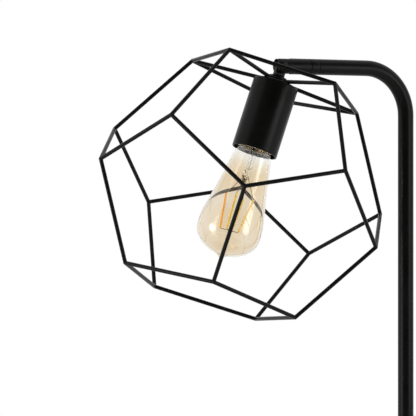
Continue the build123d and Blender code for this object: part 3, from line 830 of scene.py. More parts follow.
@dataclass(frozen=True)
class FlexSheath(Finish):
    """Extruded black vinyl sheath of the flex: dull, with a faint grain."""

    slot: str = "flex_sheath"
    colour: str = "#141413"
    shade: str = "#1b1b1a"
    roughness: float = 0.55
    grain: float = 0.6
    relief: float = 0.02


@dataclass(frozen=True)
class CoreInsulation(Finish):
    """Extruded brown vinyl on the cores: even and slightly waxy."""

    slot: str = "core_insulation"
    colour: str = "#7d4a22"
    shade: str = "#8b552a"
    roughness: float = 0.5
    grain: float = 0.6


@dataclass(frozen=True)
class Phenolic(Finish):
    """Hot-pressed natural phenolic resin: tan and semi-gloss, with faint flow clouds."""

    slot: str = "tan_phenolic"
    colour: str = "#d8bf98"
    shade: str = "#c7a878"
    roughness: float = 0.3
    grain: float = 0.7
    relief: float = 0.008
    ior: float = 1.6


@dataclass(frozen=True)
class StampedBrass(Finish):
    """Rolled brass sheet, stamped or spun: warm yellow metal with slightly dulled patches."""

    slot: str = "brass"
    colour: str = "#e6cb95"
    shade: str = "#cda968"
    roughness: float = 0.42
    spread: float = 0.08
    grain: float = 0.5
    relief: float = 0.006
    metallic: float = 1.0


@dataclass(frozen=True)
class TinSolder(Finish):
    """A blob of tin solder: pale grey metal, satin, with frosty grains."""

    slot: str = "solder"
    colour: str = "#c9c9cb"
    shade: str = "#a7a7aa"
    roughness: float = 0.42
    spread: float = 0.1
    grain: float = 0.4
    relief: float = 0.02
    metallic: float = 1.0


@dataclass(frozen=True)
class CapGlass(Finish):
    """Fused black glass between cap and contact: glossy, very dark purple-brown."""

    slot: str = "dark_cap_glass"
    colour: str = "#120e13"
    shade: str = "#1c151b"
    roughness: float = 0.12
    grain: float = 1.2
    relief: float = 0.02


@dataclass(frozen=True)
class Nylon(Finish):
    """Turned natural nylon: milky white and waxy."""

    slot: str = "nylon"
    colour: str = "#eae6dc"
    shade: str = "#dedacf"
    roughness: float = 0.45
    grain: float = 0.5


@dataclass(frozen=True)
class PhosphorCoat(Finish):
    """Silicone loaded with yellow phosphor over a row of chips: matt, deep orange yellow.

    Its faint glow in its own colour is painted light: it brightens the unlit filaments beyond what a pigment
    shows.
    """

    slot: str = "filament_coating"
    colour: str = "#ffad1e"
    shade: str = "#ffbb36"
    roughness: float = 0.6
    grain: float = 0.5
    relief: float = 0.03
    # painted light: the unlit filaments glow faintly in their coat's colour
    glow: float = 0.25


@dataclass(frozen=True)
class LeadWire(Finish):
    """Copper-clad lead wire: brown metal with a dull skin from the glass-maker's flame."""

    slot: str = "support_wire"
    colour: str = "#8c6a3a"
    shade: str = "#5a4426"
    roughness: float = 0.4
    grain: float = 0.3
    metallic: float = 1.0


@dataclass(frozen=True)
class BlownGlass(Finish):
    """Blown soda glass with an amber stain inside: clear at the neck, tan over the rest.

    Light meets the stain at each face of the wall, so the colours here are the square root of what
    a wall takes.  The blown wall has slow waves, a few centimetres long and some microns high.

    Attributes:
        clear_from: Level in the head above which the glass is clear.
        stained_from: Level in the head below which the stain is full.
        noise_range: Values of the waves at which the stain is faintest and full.
        faintest: Share of the stain where it is faintest.
        sheer_from: Turn away from the viewer at which the stain starts to fade, a painted reflection that
            lightens the rims; one for edge on.
        sheer_at: Turn at which it is gone.
    """

    slot: str = "amber_glass"
    colour: str = "#f9f9f8"
    shade: str = "#efe3cd"
    roughness: float = 0.0
    grain: float = 26.0
    relief: float = 0.02
    clear_from: float = -92.0
    stained_from: float = -112.0
    noise_range: tuple[float, float] = (0.3, 0.7)
    faintest: float = 0.6
    sheer_from: float = 0.5
    sheer_at: float = 0.95

    def level(self, tree: Tree, place: Socket) -> Socket:
        """Height in the head's own frame: the place less the pivot, turned back by the tilt.

        Args:
            tree: The node tree.
            place: Place in the lamp.

        Returns:
            The height along the socket's axis.
        """
        pivot = [-part * MILLIMETRE for part in HEAD_AT_REST.origin]
        turn = math.radians(-HEAD_AT_REST.tilt)
        centred = add_node(tree, "Mapping", vector=place, location=pivot)
        upright = add_node(tree, "Mapping", vector=centred.outputs[0], rotation=(0, turn, 0))
        return add_node(tree, "SeparateXYZ", vector=upright.outputs[0]).outputs["Z"]

    def shader(self, tree: Tree, place: Socket) -> bpy.types.Node:
        """Clear glass whose stain sets in along the bulb's axis, cloudy, and fading in a grazing view as a
        painted reflection that lightens the rims.

        Args:
            tree: The node tree.
            place: Place in the lamp.

        Returns:
            The shader node.
        """
        wave = add_node(tree, "TexNoise", vector=place, scale=1 / (self.grain * MILLIMETRE), detail=0.0)
        cloud = add_node(tree, "MapRange", value=wave.outputs[0], from_min=self.noise_range[0],
                         from_max=self.noise_range[1], to_min=self.faintest, to_max=1.0)
        # painted reflection: towards the rims the stain fades, so they look lit by the white room
        facing = add_node(tree, "LayerWeight", blend=0.5).outputs["Facing"]
        painted_rim_light = add_node(tree, "MapRange", value=facing, from_min=self.sheer_from, from_max=self.sheer_at,
                         to_min=1.0, to_max=0.0)
        amount = of_two(tree, "MULTIPLY", cloud.outputs[0], painted_rim_light.outputs[0])
        level = self.level(tree, place)
        stain = add_node(tree, "MapRange", {"interpolation_type": "SMOOTHSTEP"}, value=level,
                         from_min=self.clear_from * MILLIMETRE, from_max=self.stained_from * MILLIMETRE,
                         to_max=amount)
        return add_node(tree, "BsdfPrincipled", roughness=self.roughness, ior=self.ior,
                        base_color=blended(tree, stain.outputs[0], self.colour, self.shade),
                        transmission_weight=1.0, normal=self.relieved(tree, wave.outputs[0]))


@dataclass(frozen=True)
class ClearGlass(BlownGlass):
    """Drawn lead glass of the stem: clear with a faint grey."""

    slot: str = "clear_glass"
    colour: str = "#fafafa"
    shade: str = "#f7f8f7"
    grain: float = 6.0
    relief: float = 0.03


# ---------------------------------------------------------------- stand
@dataclass
class Base:
    """Round weighted foot: a pressed cover over the weight, closed by a plate on a soft pad."""

    radius: float = 115.0
    height: float = 28.0
    sheet: float = 1.5
    edge_round: float = 5.0
    lift: float = 1.0
    rim_ease: float = 0.4
    stud_hole: float = STUD_HOLE
    hole_ease: float = 0.3
    pad_radius: float = 108.0
    pad_thickness: float = 2.0
    pad_ease: float = 0.5
    inlet_level: float = 8.4
    inlet_bore: float = 2.7
    inlet_neck: float = 4.05
    inlet_flange: float = 4.9
    inlet_start: float = 109.0
    inlet_end: float = 117.0
    wall_inside: float = 113.2
    wall_outside: float = 115.3
    back_ease: float = 0.5
    grip_ease: tuple[float, float] = (0.2, 0.3)
    face_ease: float = 0.7
    mouth_ease: float = 0.6

    def build(self, frame: dict[str, Any]) -> None:
        """Builds the cover, the pad and the inlet, and dresses what is inside.

        Args:
            frame: The loaded frame.
        """
        build_piece("base_shell", [self.cover()], PowderCoat(), Body.STAND, "base_cover")
        build_piece("sole_pad", [self.pad()], MouldedRubber(), Body.STAND, "base_pad")
        build_piece("cord_bush", [self.bush()], MouldedRubber(), Body.STAND, "cord_inlet")
        dress(frame, CastIron(), "base_weight")
        dress(frame, ZincPlate(), "base_bottom_plate", "base_stud", "base_washer", "base_nut")

    def cover(self) -> Grid:
        """Turned sheet: outside from the stud hole to the rim, and back inside.

        Returns:
            The closed wall.
        """
        inside = self.radius - self.sheet
        under = self.height - self.sheet
        corners = [(self.stud_hole, self.height, self.hole_ease),
                   (self.radius, self.height, self.edge_round),
                   (self.radius, self.lift, self.rim_ease), (inside, self.lift, self.rim_ease),
                   (inside, under, self.edge_round - self.sheet), (self.stud_hole, under, self.hole_ease)]
        return turned_wall(corners, steps=9, columns=160, longest=12)

    def pad(self) -> Grid:
        """Turned disc with a rounded edge, from the middle above to the middle below.

        Returns:
            The closed surface.
        """
        corners = [(0, self.pad_thickness, 0), (self.pad_radius, self.pad_thickness, self.pad_ease),
                   (self.pad_radius, 0, self.pad_ease), (0, 0, 0)]
        return turned(spaced(eased(corners), 12), columns=120)

    def bush(self) -> Grid:
        """Grommet with two flanges that grip the cover, turned about its own bore and laid along +X.

        Returns:
            The closed wall.
        """
        inner_grip, outer_grip = self.grip_ease
        corners = [(self.inlet_bore, self.inlet_start, self.back_ease),
                   (self.inlet_flange, self.inlet_start, self.back_ease),
                   (self.inlet_flange, self.wall_inside, inner_grip),
                   (self.inlet_neck, self.wall_inside, 0), (self.inlet_neck, self.wall_outside, 0),
                   (self.inlet_flange, self.wall_outside, outer_grip),
                   (self.inlet_flange, self.inlet_end, self.face_ease),
                   (self.inlet_bore, self.inlet_end, self.mouth_ease)]
        return turned_wall(corners, steps=6, columns=48).along_arm(self.inlet_level)


@dataclass
class Pole:
    """Three screwed tubes with a collar at the foot, the upper one bent over into the arm."""

    radius: float = TUBE_RADIUS
    wall: float = 1.0
    seam: float = 0.5
    bore_ease: float = 0.1
    joints: Spot = (28.0, 508.0, 988.0)
    arm_height: float = ARM_LEVEL
    bend_radius: float = 48.0
    arm_end: float = ARM_END
    collar_radius: float = 13.0
    collar_height: float = 9.0
    collar_fit: float = 0.05
    collar_ease: float = 2.2
    foot_ease: float = 0.3
    lip_ease: float = 0.4
    upright_rows: int = 12
    bend_rows: int = 40
    arm_rows: int = 6

    def build(self, frame: dict[str, Any]) -> None:
        """Builds the tubes and the collar, and dresses what is inside them.

        Args:
            frame: The loaded frame.
        """
        foot, middle, upper = self.joints
        build_piece("lower_tube", [self.tube(foot, middle)], PowderCoat(), Body.STAND, "pole_lower")
        build_piece("middle_tube", [self.tube(middle, upper)], PowderCoat(), Body.STAND, "pole_middle")
        build_piece("bent_arm", [self.arm()], PowderCoat(), Body.STAND, "arm_tube")
        build_piece("foot_collar", [self.collar()], PowderCoat(), Body.STAND, "pole_collar")
        dress(frame, ZincPlate(), "tube_inserts", "joint_studs", "arm_insert", "swivel_stud")
        dress(frame, FlexSheath(), "lamp_flex")

    def tube(self, low: float, high: float) -> Grid:
        """Turned outside and inside of a straight tube, its ends eased.

        Args:
            low: Lower end.
            high: Upper end.

        Returns:
            The closed wall.
        """
        bore = self.radius - self.wall
        corners = [(self.radius, low, self.seam), (self.radius, high, self.seam),
                   (bore, high, self.bore_ease), (bore, low, self.bore_ease)]
        return turned_wall(corners, steps=5, columns=64, longest=60)

    def collar(self) -> Grid:
        """Turned ring round the foot of the pole, its upper edge rounded over.

        Returns:
            The closed wall.
        """
        foot = self.joints[0]
        bore = self.radius + self.collar_fit
        top = foot + self.collar_height
        corners = [(bore, foot, 0), (self.collar_radius, foot, self.foot_ease),
                   (self.collar_radius, top, self.collar_ease), (bore, top, self.lip_ease)]
        return turned_wall(corners, steps=7, columns=96)

    def centre_line(self) -> np.ndarray:
        """Straight up, a quarter circle about a point inside the bend, and straight out.

        A point lies a seam's length from each end, where the tube's eased edges begin.

        Returns:
            The line's points.
        """
        rise = np.linspace(self.joints[2], self.arm_height - self.bend_radius, self.upright_rows)
        turn = np.linspace(0, np.pi / 2, self.bend_rows)[1:]
        out = np.linspace(-self.bend_radius, self.arm_end, self.arm_rows)[1:]
        upright = np.stack([rise * 0, rise * 0, rise], axis=-1)
        bend = np.stack([self.bend_radius * (np.cos(turn) - 1), turn * 0,
                         self.arm_height + self.bend_radius * (np.sin(turn) - 1)], axis=-1)
        arm = np.stack([out, out * 0, out * 0 + self.arm_height], axis=-1)
        low, high = upright[:1] + [[0, 0, self.seam]], arm[-1:] + [[self.seam, 0, 0]]
        return np.concatenate([upright[:1], low, upright[1:], bend, arm[:-1], high, arm[-1:]])

    def arm(self) -> Grid:
        """Wall of the bent tube: circles out along its outside and back along its bore.

        Returns:
            The closed wall.
        """
        line = self.centre_line()
        last = len(line) - 1
        bore = self.radius - self.wall
        eased_end = self.radius - self.seam
        outward = [(0, eased_end)] + [(index, self.radius) for index in range(1, last)] + [(last, eased_end)]
        inward = [(index, bore) for index in range(last, -1, -1)]
        return carried(line, np.array(outward + inward, float), columns=64)


@dataclass
class Swivel:
    """Lock ring, slotted end piece and tilting lug between the arm and the head."""

    radius: float = TUBE_RADIUS
    seam: float = 0.45
    ring_start: float = -116.5
    ring_end: float = ARM_END
    bore: float = STUD_HOLE
    arm_height: float = ARM_LEVEL
    bar_edge: float = 0.35
    lug_edge: float = 0.3
    screw_edge: float = 0.15

    def build(self, frame: dict[str, Any]) -> None:
        """Builds the lock ring and refines the clevis, lug, screw and nut.

        Args:
            frame: The loaded frame.
        """
        build_piece("lock_ring", [self.ring()], PowderCoat(), Body.STAND, "swivel_collar")
        refined(frame, "swivel_clevis", "slotted_end", PowderCoat(), Body.STAND, self.bar_edge)
        refined(frame, "swivel_lug", "tilting_lug", PowderCoat(), Body.HEAD, self.lug_edge)
        refined(frame, "pivot_screw", "tilt_screw", PowderCoat(), Body.STAND, self.screw_edge)
        refined(frame, "pivot_nut", "tilt_nut", PowderCoat(), Body.STAND, self.screw_edge)
        dress(frame, Nylon(), "pivot_washers")

    def ring(self) -> Grid:
        """Ring turned about the arm's axis, its outer edges eased.

        Returns:
            The closed wall.
        """
        corners = [(self.bore, self.ring_start, 0), (self.radius, self.ring_start, self.seam),
                   (self.radius, self.ring_end, self.seam), (self.bore, self.ring_end, 0)]
        return turned_wall(corners, steps=5, columns=64).along_arm(self.arm_height)


# ---------------------------------------------------------------- head
@dataclass
class WireCage:
    """Twelve five-sided openings of straight wire welded corner to corner, hung from a hub."""

    wire: float = 2.0
    sides: int = 5
    ring_radius: float = 91.5
    belt_radius: float = 148.0
    shoulder: float = 87.7
    belt_rise: float = 48.9
    turn: float = -9.5
    ring_level: float = -16.5
    hub_radius: float = 13.5
    hub_top: float = -14.4
    hub_bottom: float = -18.6
    hub_hole: float = STUD_HOLE
    hub_ease: float = 0.8
    hole_ease: float = 0.2
    weld_sink: float = 0.8
    weld: float = 2.02
    weld_wave: float = 0.01
    weld_rows: int = 13
    weld_columns: int = 24

    def build(self) -> None:
        """Builds the hub and every row of wires."""
        build_piece("cage_boss", [self.hub()], PowderCoat(), Body.HEAD, "cage_hub")
        for name, node, wires, welds in self.rows():
            grids = [bar(start, end, self.wire) for start, end in wires]
            grids += [self.weld_ball(corner) for corner in welds]
            build_piece(name, grids, PowderCoat(), Body.HEAD, node)

    def hub(self) -> Grid:
        """Turned flat disc with eased rims and a hole for the stem.

        Returns:
            The closed wall.
        """
        corners = [(self.hub_hole, self.hub_top, self.hole_ease),
                   (self.hub_radius, self.hub_top, self.hub_ease),
                   (self.hub_radius, self.hub_bottom, self.hub_ease),
                   (self.hub_hole, self.hub_bottom, self.hole_ease)]
        return turned_wall(corners, steps=6, columns=72)

    def corners(self, radius: float, level: float, start: int) -> np.ndarray:
        """Corners evenly round a circle.

        Args:
            radius: Radius of the circle.
            level: Height of the circle.
            start: Half steps from the first top corner to the first of these.

        Returns:
            The corners.
        """
        steps = start + 2 * np.arange(self.sides)
        angle = np.radians(self.turn + steps * 180 / self.sides)
        level_all = np.full(self.sides, level)
        return np.stack([radius * np.cos(angle), radius * np.sin(angle), level_all], axis=-1)

    def rows(self) -> list[tuple[str, str, list[Wire], np.ndarray]]:
        """Rows of wires from the hub down to the mouth, each wire from corner to corner.

        Returns:
            Name, CAD node, wires and welded corners of each row.
        """
        upper_level = self.ring_level - self.shoulder
        lower_level = upper_level - self.belt_rise
        top = self.corners(self.ring_radius, self.ring_level, 0)
        upper = self.corners(self.belt_radius, upper_level, 0)
        lower = self.corners(self.belt_radius, lower_level, 1)
        bottom = self.corners(self.ring_radius, lower_level - self.shoulder, 1)
        hub = self.corners(self.hub_radius - self.weld_sink, self.ring_level, 0)
        none = np.zeros((0, 3))
        belt = list(zip(upper, lower)) + list(zip(lower, next_round(upper)))
        return [("top_spokes", "cage_spokes", list(zip(hub, top)), none),
                ("top_pentagon", "cage_top_ring", list(zip(top, next_round(top))), top),
                ("upper_struts", "cage_upper_struts", list(zip(top, upper)), none),
                ("zigzag_belt", "cage_belt", belt, np.concatenate([upper, lower])),
                ("lower_struts", "cage_lower_struts", list(zip(lower, bottom)), none),
                ("mouth_pentagon", "cage_bottom_ring", list(zip(bottom, next_round(bottom))), bottom)]

    def weld_ball(self, corner: np.ndarray) -> Grid:
        """Dressed weld at a corner: a ball whose radius is waved by sines.

        The radius at angle a and polar angle h is 1 + w sin h sin(3 a + x) cos 2 h times the
        weld's, where x is the corner's own place, so that no two welds look the same.

        Args:
            corner: Middle of the weld.

        Returns:
            The closed surface.
        """
        rise = np.linspace(0, np.pi, self.weld_rows)[:, None]
        angle = np.linspace(0, 2 * np.pi, self.weld_columns, endpoint=False)[None, :]
        wave = self.weld_wave * np.sin(rise) * np.sin(3 * angle + corner[0]) * np.cos(2 * rise)
        radius = self.weld * (1 + wave)
        ball = np.stack([radius * np.sin(rise) * np.cos(angle), radius * np.sin(rise) * np.sin(angle),
                         radius * np.cos(rise) * np.ones_like(angle)], axis=-1)
        return Grid(ball + corner)


def next_round(corners: np.ndarray) -> np.ndarray:
    """Each corner's next one round the ring."""
    return np.roll(corners, -1, axis=0)


@dataclass
class Lampholder:
    """Deep round sleeve over a screw socket that hangs on the lug's hollow stem."""

    top: float = -18.6
    mouth: float = -91.35
    radius: float = 23.0
    bore: float = 21.5
    sheet: float = 1.5
    shoulder_ease: float = 1.4
    lip_ease: float = 0.45
    hole: float = STUD_HOLE
    hole_ease: float = 0.1
    roof_ease: float = 0.3
    cap_edge: float = 0.4
    body_edge: float = 0.35
    shell_top: float = -59.25
    shell_end: float = -84.25
    shell_bore: float = 13.5
    shell_wall: float = 0.5
    pitch: float = THREAD_PITCH

    def build(self, frame: dict[str, Any]) -> None:
        """Builds the sleeve and the screw shell, and dresses the socket's other pieces.

        Args:
            frame: The loaded frame.
        """
        build_piece("holder_sleeve", [self.sleeve()], PowderCoat(), Body.HEAD, "socket_sleeve")
        build_piece("threaded_shell", [self.shell()], StampedBrass(), Body.HEAD, "screw_shell")
        refined(frame, "socket_cap", "holder_cap", Phenolic(), Body.HEAD, self.cap_edge)
        refined(frame, "socket_body", "holder_body", Phenolic(), Body.HEAD, self.body_edge)
        dress(frame, ZincPlate(), "lock_washer", "stem_nut", "terminal_screws")
        dress(frame, StampedBrass(), "centre_contact", "terminals")
        dress(frame, FlexSheath(), "head_flex")
        dress(frame, CoreInsulation(), "flex_cores")

    def sleeve(self) -> Grid:
        """Turned sheet: outside from the stem hole to the mouth, and back inside.

        Returns:
            The closed wall.
        """
        under = self.top - self.sheet
        corners = [(self.hole, self.top, self.hole_ease), (self.radius, self.top, self.shoulder_ease),
                   (self.radius, self.mouth, self.lip_ease), (self.bore, self.mouth, self.lip_ease),
                   (self.bore, under, self.roof_ease), (self.hole, under, self.hole_ease)]
        return turned_wall(corners, steps=8, columns=128, longest=8)

    def shell(self) -> Grid:
        """Sheet tube pressed into a round thread."""
        return threaded(self.shell_top, self.shell_end, self.shell_bore + self.shell_wall,
                        self.shell_wall / 2, self.shell_wall / 2, self.pitch)


@dataclass
class FilamentBulb:
    """Pear-shaped filament bulb of amber glass on a brass screw cap.

    Attributes:
        neck: Radius of the glass at its neck, and its way down from the cap's rim.
        waist: The same half way to the belly.
        belly: The same at the widest place.
        filament_top: Radius and level of the circle that the filaments' upper ends lie on.
        filament_end: The same for their lower ends.
        sides: Which face of its coat each filament shows: nought for the full one.
    """

    cap_top: float = -64.75
    cap_rim: float = -87.25
    cap_radius: float = 13.1
    cap_sheet: float = 0.4
    thread_depth: float = 0.9
    pitch: float = THREAD_PITCH
    tip_radius: float = 5.5
    wall: float = 0.6
    seat: float = 11.65
    seat_height: float = 7.0
    seat_drop: float = 0.3
    neck: tuple[float, float] = (18.1, 5.0)
    waist: tuple[float, float] = (25.4, 45.0)
    belly: tuple[float, float] = (32.3, 88.0)
    end_length: float = 24.8
    nub_radius: float = 5.2
    nub_length: float = 4.1
    nub_wall: float = 0.4
    neck_flare: float = 0.9
    neck_taper: float = 0.25
    shoulder_rows: int = 12
    side_rows: int = 24
    end_rows: int = 34
    stem_radius: float = 3.4
    stem_bore: float = 2.3
    stem_end: float = -120.25
    flare_height: float = 7.0
    flare_gap: float = 0.1
    flare_ease: tuple[float, float] = (0.5, 3.0)
    void_drop: tuple[float, float] = (2.0, 3.0)
    void_ease: tuple[float, float] = (1.0, 1.5)
    void_tip: float = 1.0
    pinch_width: float = 4.6
    pinch_thickness: float = 2.0
    pinch_height: float = 9.0
    pinch_ease: float = 1.6
    filament_radius: float = 0.95
    filament_crown: float = 0.5
    filament_top: tuple[float, float] = (14.5, -139.25)
    filament_end: tuple[float, float] = (9.5, -174.25)
    filament_turn: float = 46.0
    paler_sides: tuple[tuple[str, str], ...] = (("#f5cf3c", "#f7d650"), ("#fbe08a", "#f5cf52"))
    sides: tuple[int, ...] = (1, 0, 1, 2)
    wire: float = 0.3
    wire_gather: float = 0.12
    wire_depth: float = 3.0

    def build(self, frame: dict[str, Any]) -> None:
        """Builds the cap, the glass, the stem, the filaments with their painted glow, and the wires.

        Args:
            frame: The loaded frame.
        """
        build_piece("screw_cap", [self.cap()], StampedBrass(), Body.BULB, "bulb_cap")
        glass = turned(self.glass_wall(), columns=160)
        build_piece("amber_bulb", [glass], BlownGlass(), Body.BULB, "bulb_glass")
        build_piece("glass_stem", self.stem(), ClearGlass(), Body.BULB, "bulb_stem")
        upper, lower = (self.on_circle(*circle) for circle in (self.filament_top, self.filament_end))
        self.build_sticks(upper, lower)
        build_piece("lead_wires", self.leads(upper), LeadWire(), Body.BULB, "support_wires")
        build_piece("bridge_wire", self.bridge(lower), LeadWire(), Body.BULB, "end_wire")
        dress(frame, CapGlass(), "bulb_insulator")
        dress(frame, TinSolder(), "bulb_contact")

    def cap(self) -> Grid:
        """Threaded sheet with a flat shoulder above, open at the insulator.

        Returns:
            The closed wall.
        """
        grid = threaded(self.cap_top, self.cap_rim, self.cap_radius, self.thread_depth, self.cap_sheet,
                        self.pitch)
        crown = np.array([[self.tip_radius, self.cap_top - self.cap_sheet], [self.tip_radius, self.cap_top]])
        ring = turned(crown, THREAD_COLUMNS).points
        return Grid(np.concatenate([ring[1:], grid.points, ring[:1]]), looped=True)

    def outline(self) -> np.ndarray:
        """Outside of the glass from its seat to the middle of its end.

        Cubic curves run from the shoulder to the neck and over the waist to the belly, each
        leaving its ends along a given slope, and a quarter oval rounds the end.  The slope at the
        waist is the one at which the two curves that meet there bend alike.

        Returns:
            Radius and height of each row.
        """
        shoulder = np.array([self.seat, self.cap_rim - self.seat_drop])
        neck, waist, belly = (np.array([radius, self.cap_rim - drop])
                              for radius, drop in (self.neck, self.waist, self.belly))
        flare, taper, down = unit(1, -self.neck_flare), unit(self.neck_taper, -1), unit(0, -1)
        first, second = np.linalg.norm(waist - neck), np.linalg.norm(belly - waist)
        pull = 3 * ((waist - neck) / first ** 2 + (belly - waist) / second ** 2)
        middle = (pull - taper / first - down / second) / (2 / first + 2 / second)
        turn = np.linspace(0, np.pi / 2, self.end_rows)[1:]
        oval = np.stack([belly[0] * np.cos(turn), belly[1] - self.end_length * np.sin(turn)], axis=-1)
        return np.concatenate([cubic(shoulder, neck, flare, taper, self.shoulder_rows),
                               cubic(neck, waist, taper, middle, self.side_rows)[1:],
                               cubic(waist, belly, middle, down, self.side_rows)[1:], oval])

    def glass_wall(self) -> np.ndarray:
        """The outside, then the inside a wall's thickness within, pole to pole.

        The nub adds length times exp(-2 (radius / nub radius)^2) to the depth of both.

        Returns:
            Radius and height of each row.
        """
        outside = np.concatenate([[[self.seat, self.cap_rim + self.seat_height]], self.outline()])
        slope = np.gradient(outside, axis=0)
        slope /= np.linalg.norm(slope, axis=1)[:, None]
        inside = outside + self.wall * np.stack([slope[:, 1], -slope[:, 0]], axis=-1)
        inside[:2, 0] = self.seat - self.wall
        inside[0, 1] = outside[0, 1]
        inside[-1, 0] = 0
        for wall, length in ((outside, self.nub_length), (inside, self.nub_length - self.nub_wall)):
            below = wall[:, 1] < self.cap_rim - self.belly[1]
            wall[:, 1] -= below * length * np.exp(-2 * (wall[:, 0] / self.nub_radius) ** 2)
        return np.concatenate([outside[::-1], inside])

    def stem(self) -> list[Grid]:
        """Flare, hollow tube and flattened pinch.

        The stem is a profile turned about the axis; over the pinch its two half widths part by a
        smooth step, one growing to the pinch's width and the other shrinking to its thickness.

        Returns:
            The outside, and the wall of the void.
        """
        top = self.cap_rim + self.seat_height
        pinch_top = self.stem_end + self.pinch_height
        rim_ease, throat_ease = self.flare_ease
        rows = [(0, top, 0), (self.seat - self.wall - self.flare_gap, top, rim_ease),
                (self.stem_radius, top - self.flare_height, throat_ease), (self.stem_radius, pinch_top, 0),
                (self.stem_radius, self.stem_end, self.pinch_ease), (0, self.stem_end, 0)]
        grid = turned(spaced(eased(rows, 8), 1.5), columns=48)
        share = np.clip((pinch_top - grid.points[..., 2]) / (self.pinch_height / 2), 0, 1)
        share = share * share * (3 - 2 * share)
        wide = 1 + share * (self.pinch_width / self.stem_radius - 1)
        thin = 1 + share * (self.pinch_thickness / self.stem_radius - 1)
        shaped = grid.points * np.stack([wide, thin, np.ones_like(wide)], axis=-1)
        roof, side = (top - drop for drop in self.void_drop)
        void = [(0, roof, 0), (self.stem_bore, side, self.void_ease[0]),
                (self.stem_bore, pinch_top + self.void_tip, self.void_ease[1]), (0, pinch_top, 0)]
        return [Grid(shaped), turned(spaced(eased(void), 3), columns=32, hollow=True)]

    def on_circle(self, radius: float, level: float) -> np.ndarray:
        """The four filaments' places on a circle, a quarter turn apart.

        Args:
            radius: Radius of the circle.
            level: Height of the circle.

        Returns:
            The four places.
        """
        angle = np.radians(self.filament_turn + 90 * np.arange(4))
        circle = np.stack([np.cos(angle), np.sin(angle), np.zeros(4)], axis=-1)
        return circle * radius + np.array([0, 0, 1.0]) * level

    def build_sticks(self, upper: np.ndarray, lower: np.ndarray) -> None:
        """Builds the four sticks; each is turned about itself, and shows more or less of its coated face.

        Args:
            upper: Their upper ends.
            lower: Their lower ends.
        """
        bars = [bar(start, end, self.filament_radius, columns=16, crown=self.filament_crown)
                for start, end in zip(upper, lower)]
        mesh = build_piece("filament_sticks", bars, PhosphorCoat(), Body.BULB, "filaments").data
        for colour, shade in self.paler_sides:
            mesh.materials.append(PhosphorCoat(colour=colour, shade=shade).material())
        each = len(mesh.polygons) // len(bars)
        mesh.polygons.foreach_set("material_index", np.repeat(self.sides, each).astype(np.int32))

    def leads(self, upper: np.ndarray) -> list[Grid]:
        """Thin wires from the pinch out to the top of each filament.

        Args:
            upper: The filaments' upper ends.

        Returns:
            The wires.
        """
        gather = np.array([self.wire_gather, self.wire_gather, 0])
        start = upper * gather + np.array([0, 0, self.stem_end + self.wire_depth])
        return [bar(low, high, self.wire, columns=10) for low, high in zip(start, upper)]

    def bridge(self, lower: np.ndarray) -> list[Grid]:
        """Two thin wires crossing below the filaments.

        Args:
            lower: The filaments' lower ends.

        Returns:
            The wires.
        """
        level = lower - np.array([0, 0, self.wire])
        return [bar(level[index], level[index + 2], self.wire, columns=10) for index in (0, 1)]


# ---------------------------------------------------------------- studio
@dataclass(frozen=True)
class SeamlessPaper(Finish):
    """White seamless paper on the floor: dead matt, with the faintest mottling.

    It runs out into the white of the room, as paper does where its own lamps light it.

    Attributes:
        white_from: Way from the lamp's foot to where the paper starts to whiten, in millimetres.
        white_at: Way to where it is as white as the room.
    """

    slot: str = "paper"
    colour: str = "#f2f2f1"
    shade: str = "#eeeeed"
    roughness: float = 0.95
    spread: float = 0.02
    grain: float = 4.0
    relief: float = 0.02
    specular: float = 0.1
    white_from: float = 400.0
    white_at: float = 2400.0

    def shader(self, tree: Tree, place: Socket) -> bpy.types.Node:
        """Matt paper round the foot, and the room's white beyond it.

        Args:
            tree: The node tree.
            place: Place in the lamp.

        Returns:
            The shader node.
        """
        paper = super().shader(tree, place)
        out = add_node(tree, "VectorMath", {"operation": "LENGTH"}, vector=place).outputs["Value"]
        share = add_node(tree, "MapRange", {"interpolation_type": "SMOOTHSTEP"}, value=out,
                         from_min=self.white_from * MILLIMETRE, from_max=self.white_at * MILLIMETRE,
                         to_max=seen_by_eye(tree))
        white = add_node(tree, "Emission", color=(1, 1, 1, 1), strength=1.0)
        return add_node(tree, "MixShader", in_0=share.outputs[0], in_1=paper.outputs[0],
                        in_2=white.outputs[0])


@dataclass(frozen=True)
class DarkCloth(Finish):
    """Black felt on a studio flag, seen only in shiny surfaces."""

    slot: str = "flag"
    colour: str = "#020202"
    shade: str = "#030303"
    roughness: float = 1.0
    grain: float = 3.0
    specular: float = 0.0


@dataclass(frozen=True)
class Softbox:
    """Rectangular lamp that faces the head, brightest in its middle, out of the camera's sight.

    Attributes:
        name: Name of the lamp.
        azimuth: Angle round the head from the camera's side, positive to its right, in degrees.
        elevation: Angle above the head in degrees.
        distance: Way from the head in millimetres.
        size: Width and height in millimetres.
        power: Power in watts.
        edge: Brightness at its edge.
        middle: Brightness in its middle.
        fade: Share of the way in from the edge at which it is as bright as in the middle.
    """

    name: str
    azimuth: float
    elevation: float
    distance: float
    size: tuple[float, float]
    power: float
    edge: float = 0.1
    middle: float = 1.6
    fade: float = 0.6

    def hang(self, place: np.ndarray, yaw: float) -> None:
        """Hangs the lamp, its brightness a smooth step of the way in from its edge.

        Args:
            place: Where it hangs.
            yaw: The camera's own turn in degrees.
        """
        data = bpy.data.lights.new(self.name, "AREA")
        data.shape = "RECTANGLE"
        data.size, data.size_y = (part * MILLIMETRE for part in self.size)
        data.energy = self.power
        tree = fresh_tree(data)
        across = add_node(tree, "NewGeometry").outputs["Parametric"]
        centred = add_node(tree, "Mapping", vector=across, location=(-1, -1, 0), scale=(2, 2, 0))
        near = add_node(tree, "TexGradient", {"gradient_type": "SPHERICAL"}, vector=centred.outputs[0])
        soft = add_node(tree, "MapRange", {"interpolation_type": "SMOOTHSTEP"}, value=near.outputs[1],
                        from_max=self.fade, to_min=self.edge, to_max=self.middle)
        glow = add_node(tree, "Emission", strength=soft.outputs[0])
        add_node(tree, "OutputLight", surface=glow.outputs[0])
        lamp = new_object(self.name, data)
        lamp.location = place * MILLIMETRE
        lamp.rotation_euler = (math.radians(90 - self.elevation), 0, math.radians(yaw + self.azimuth))
        lamp.visible_camera = False


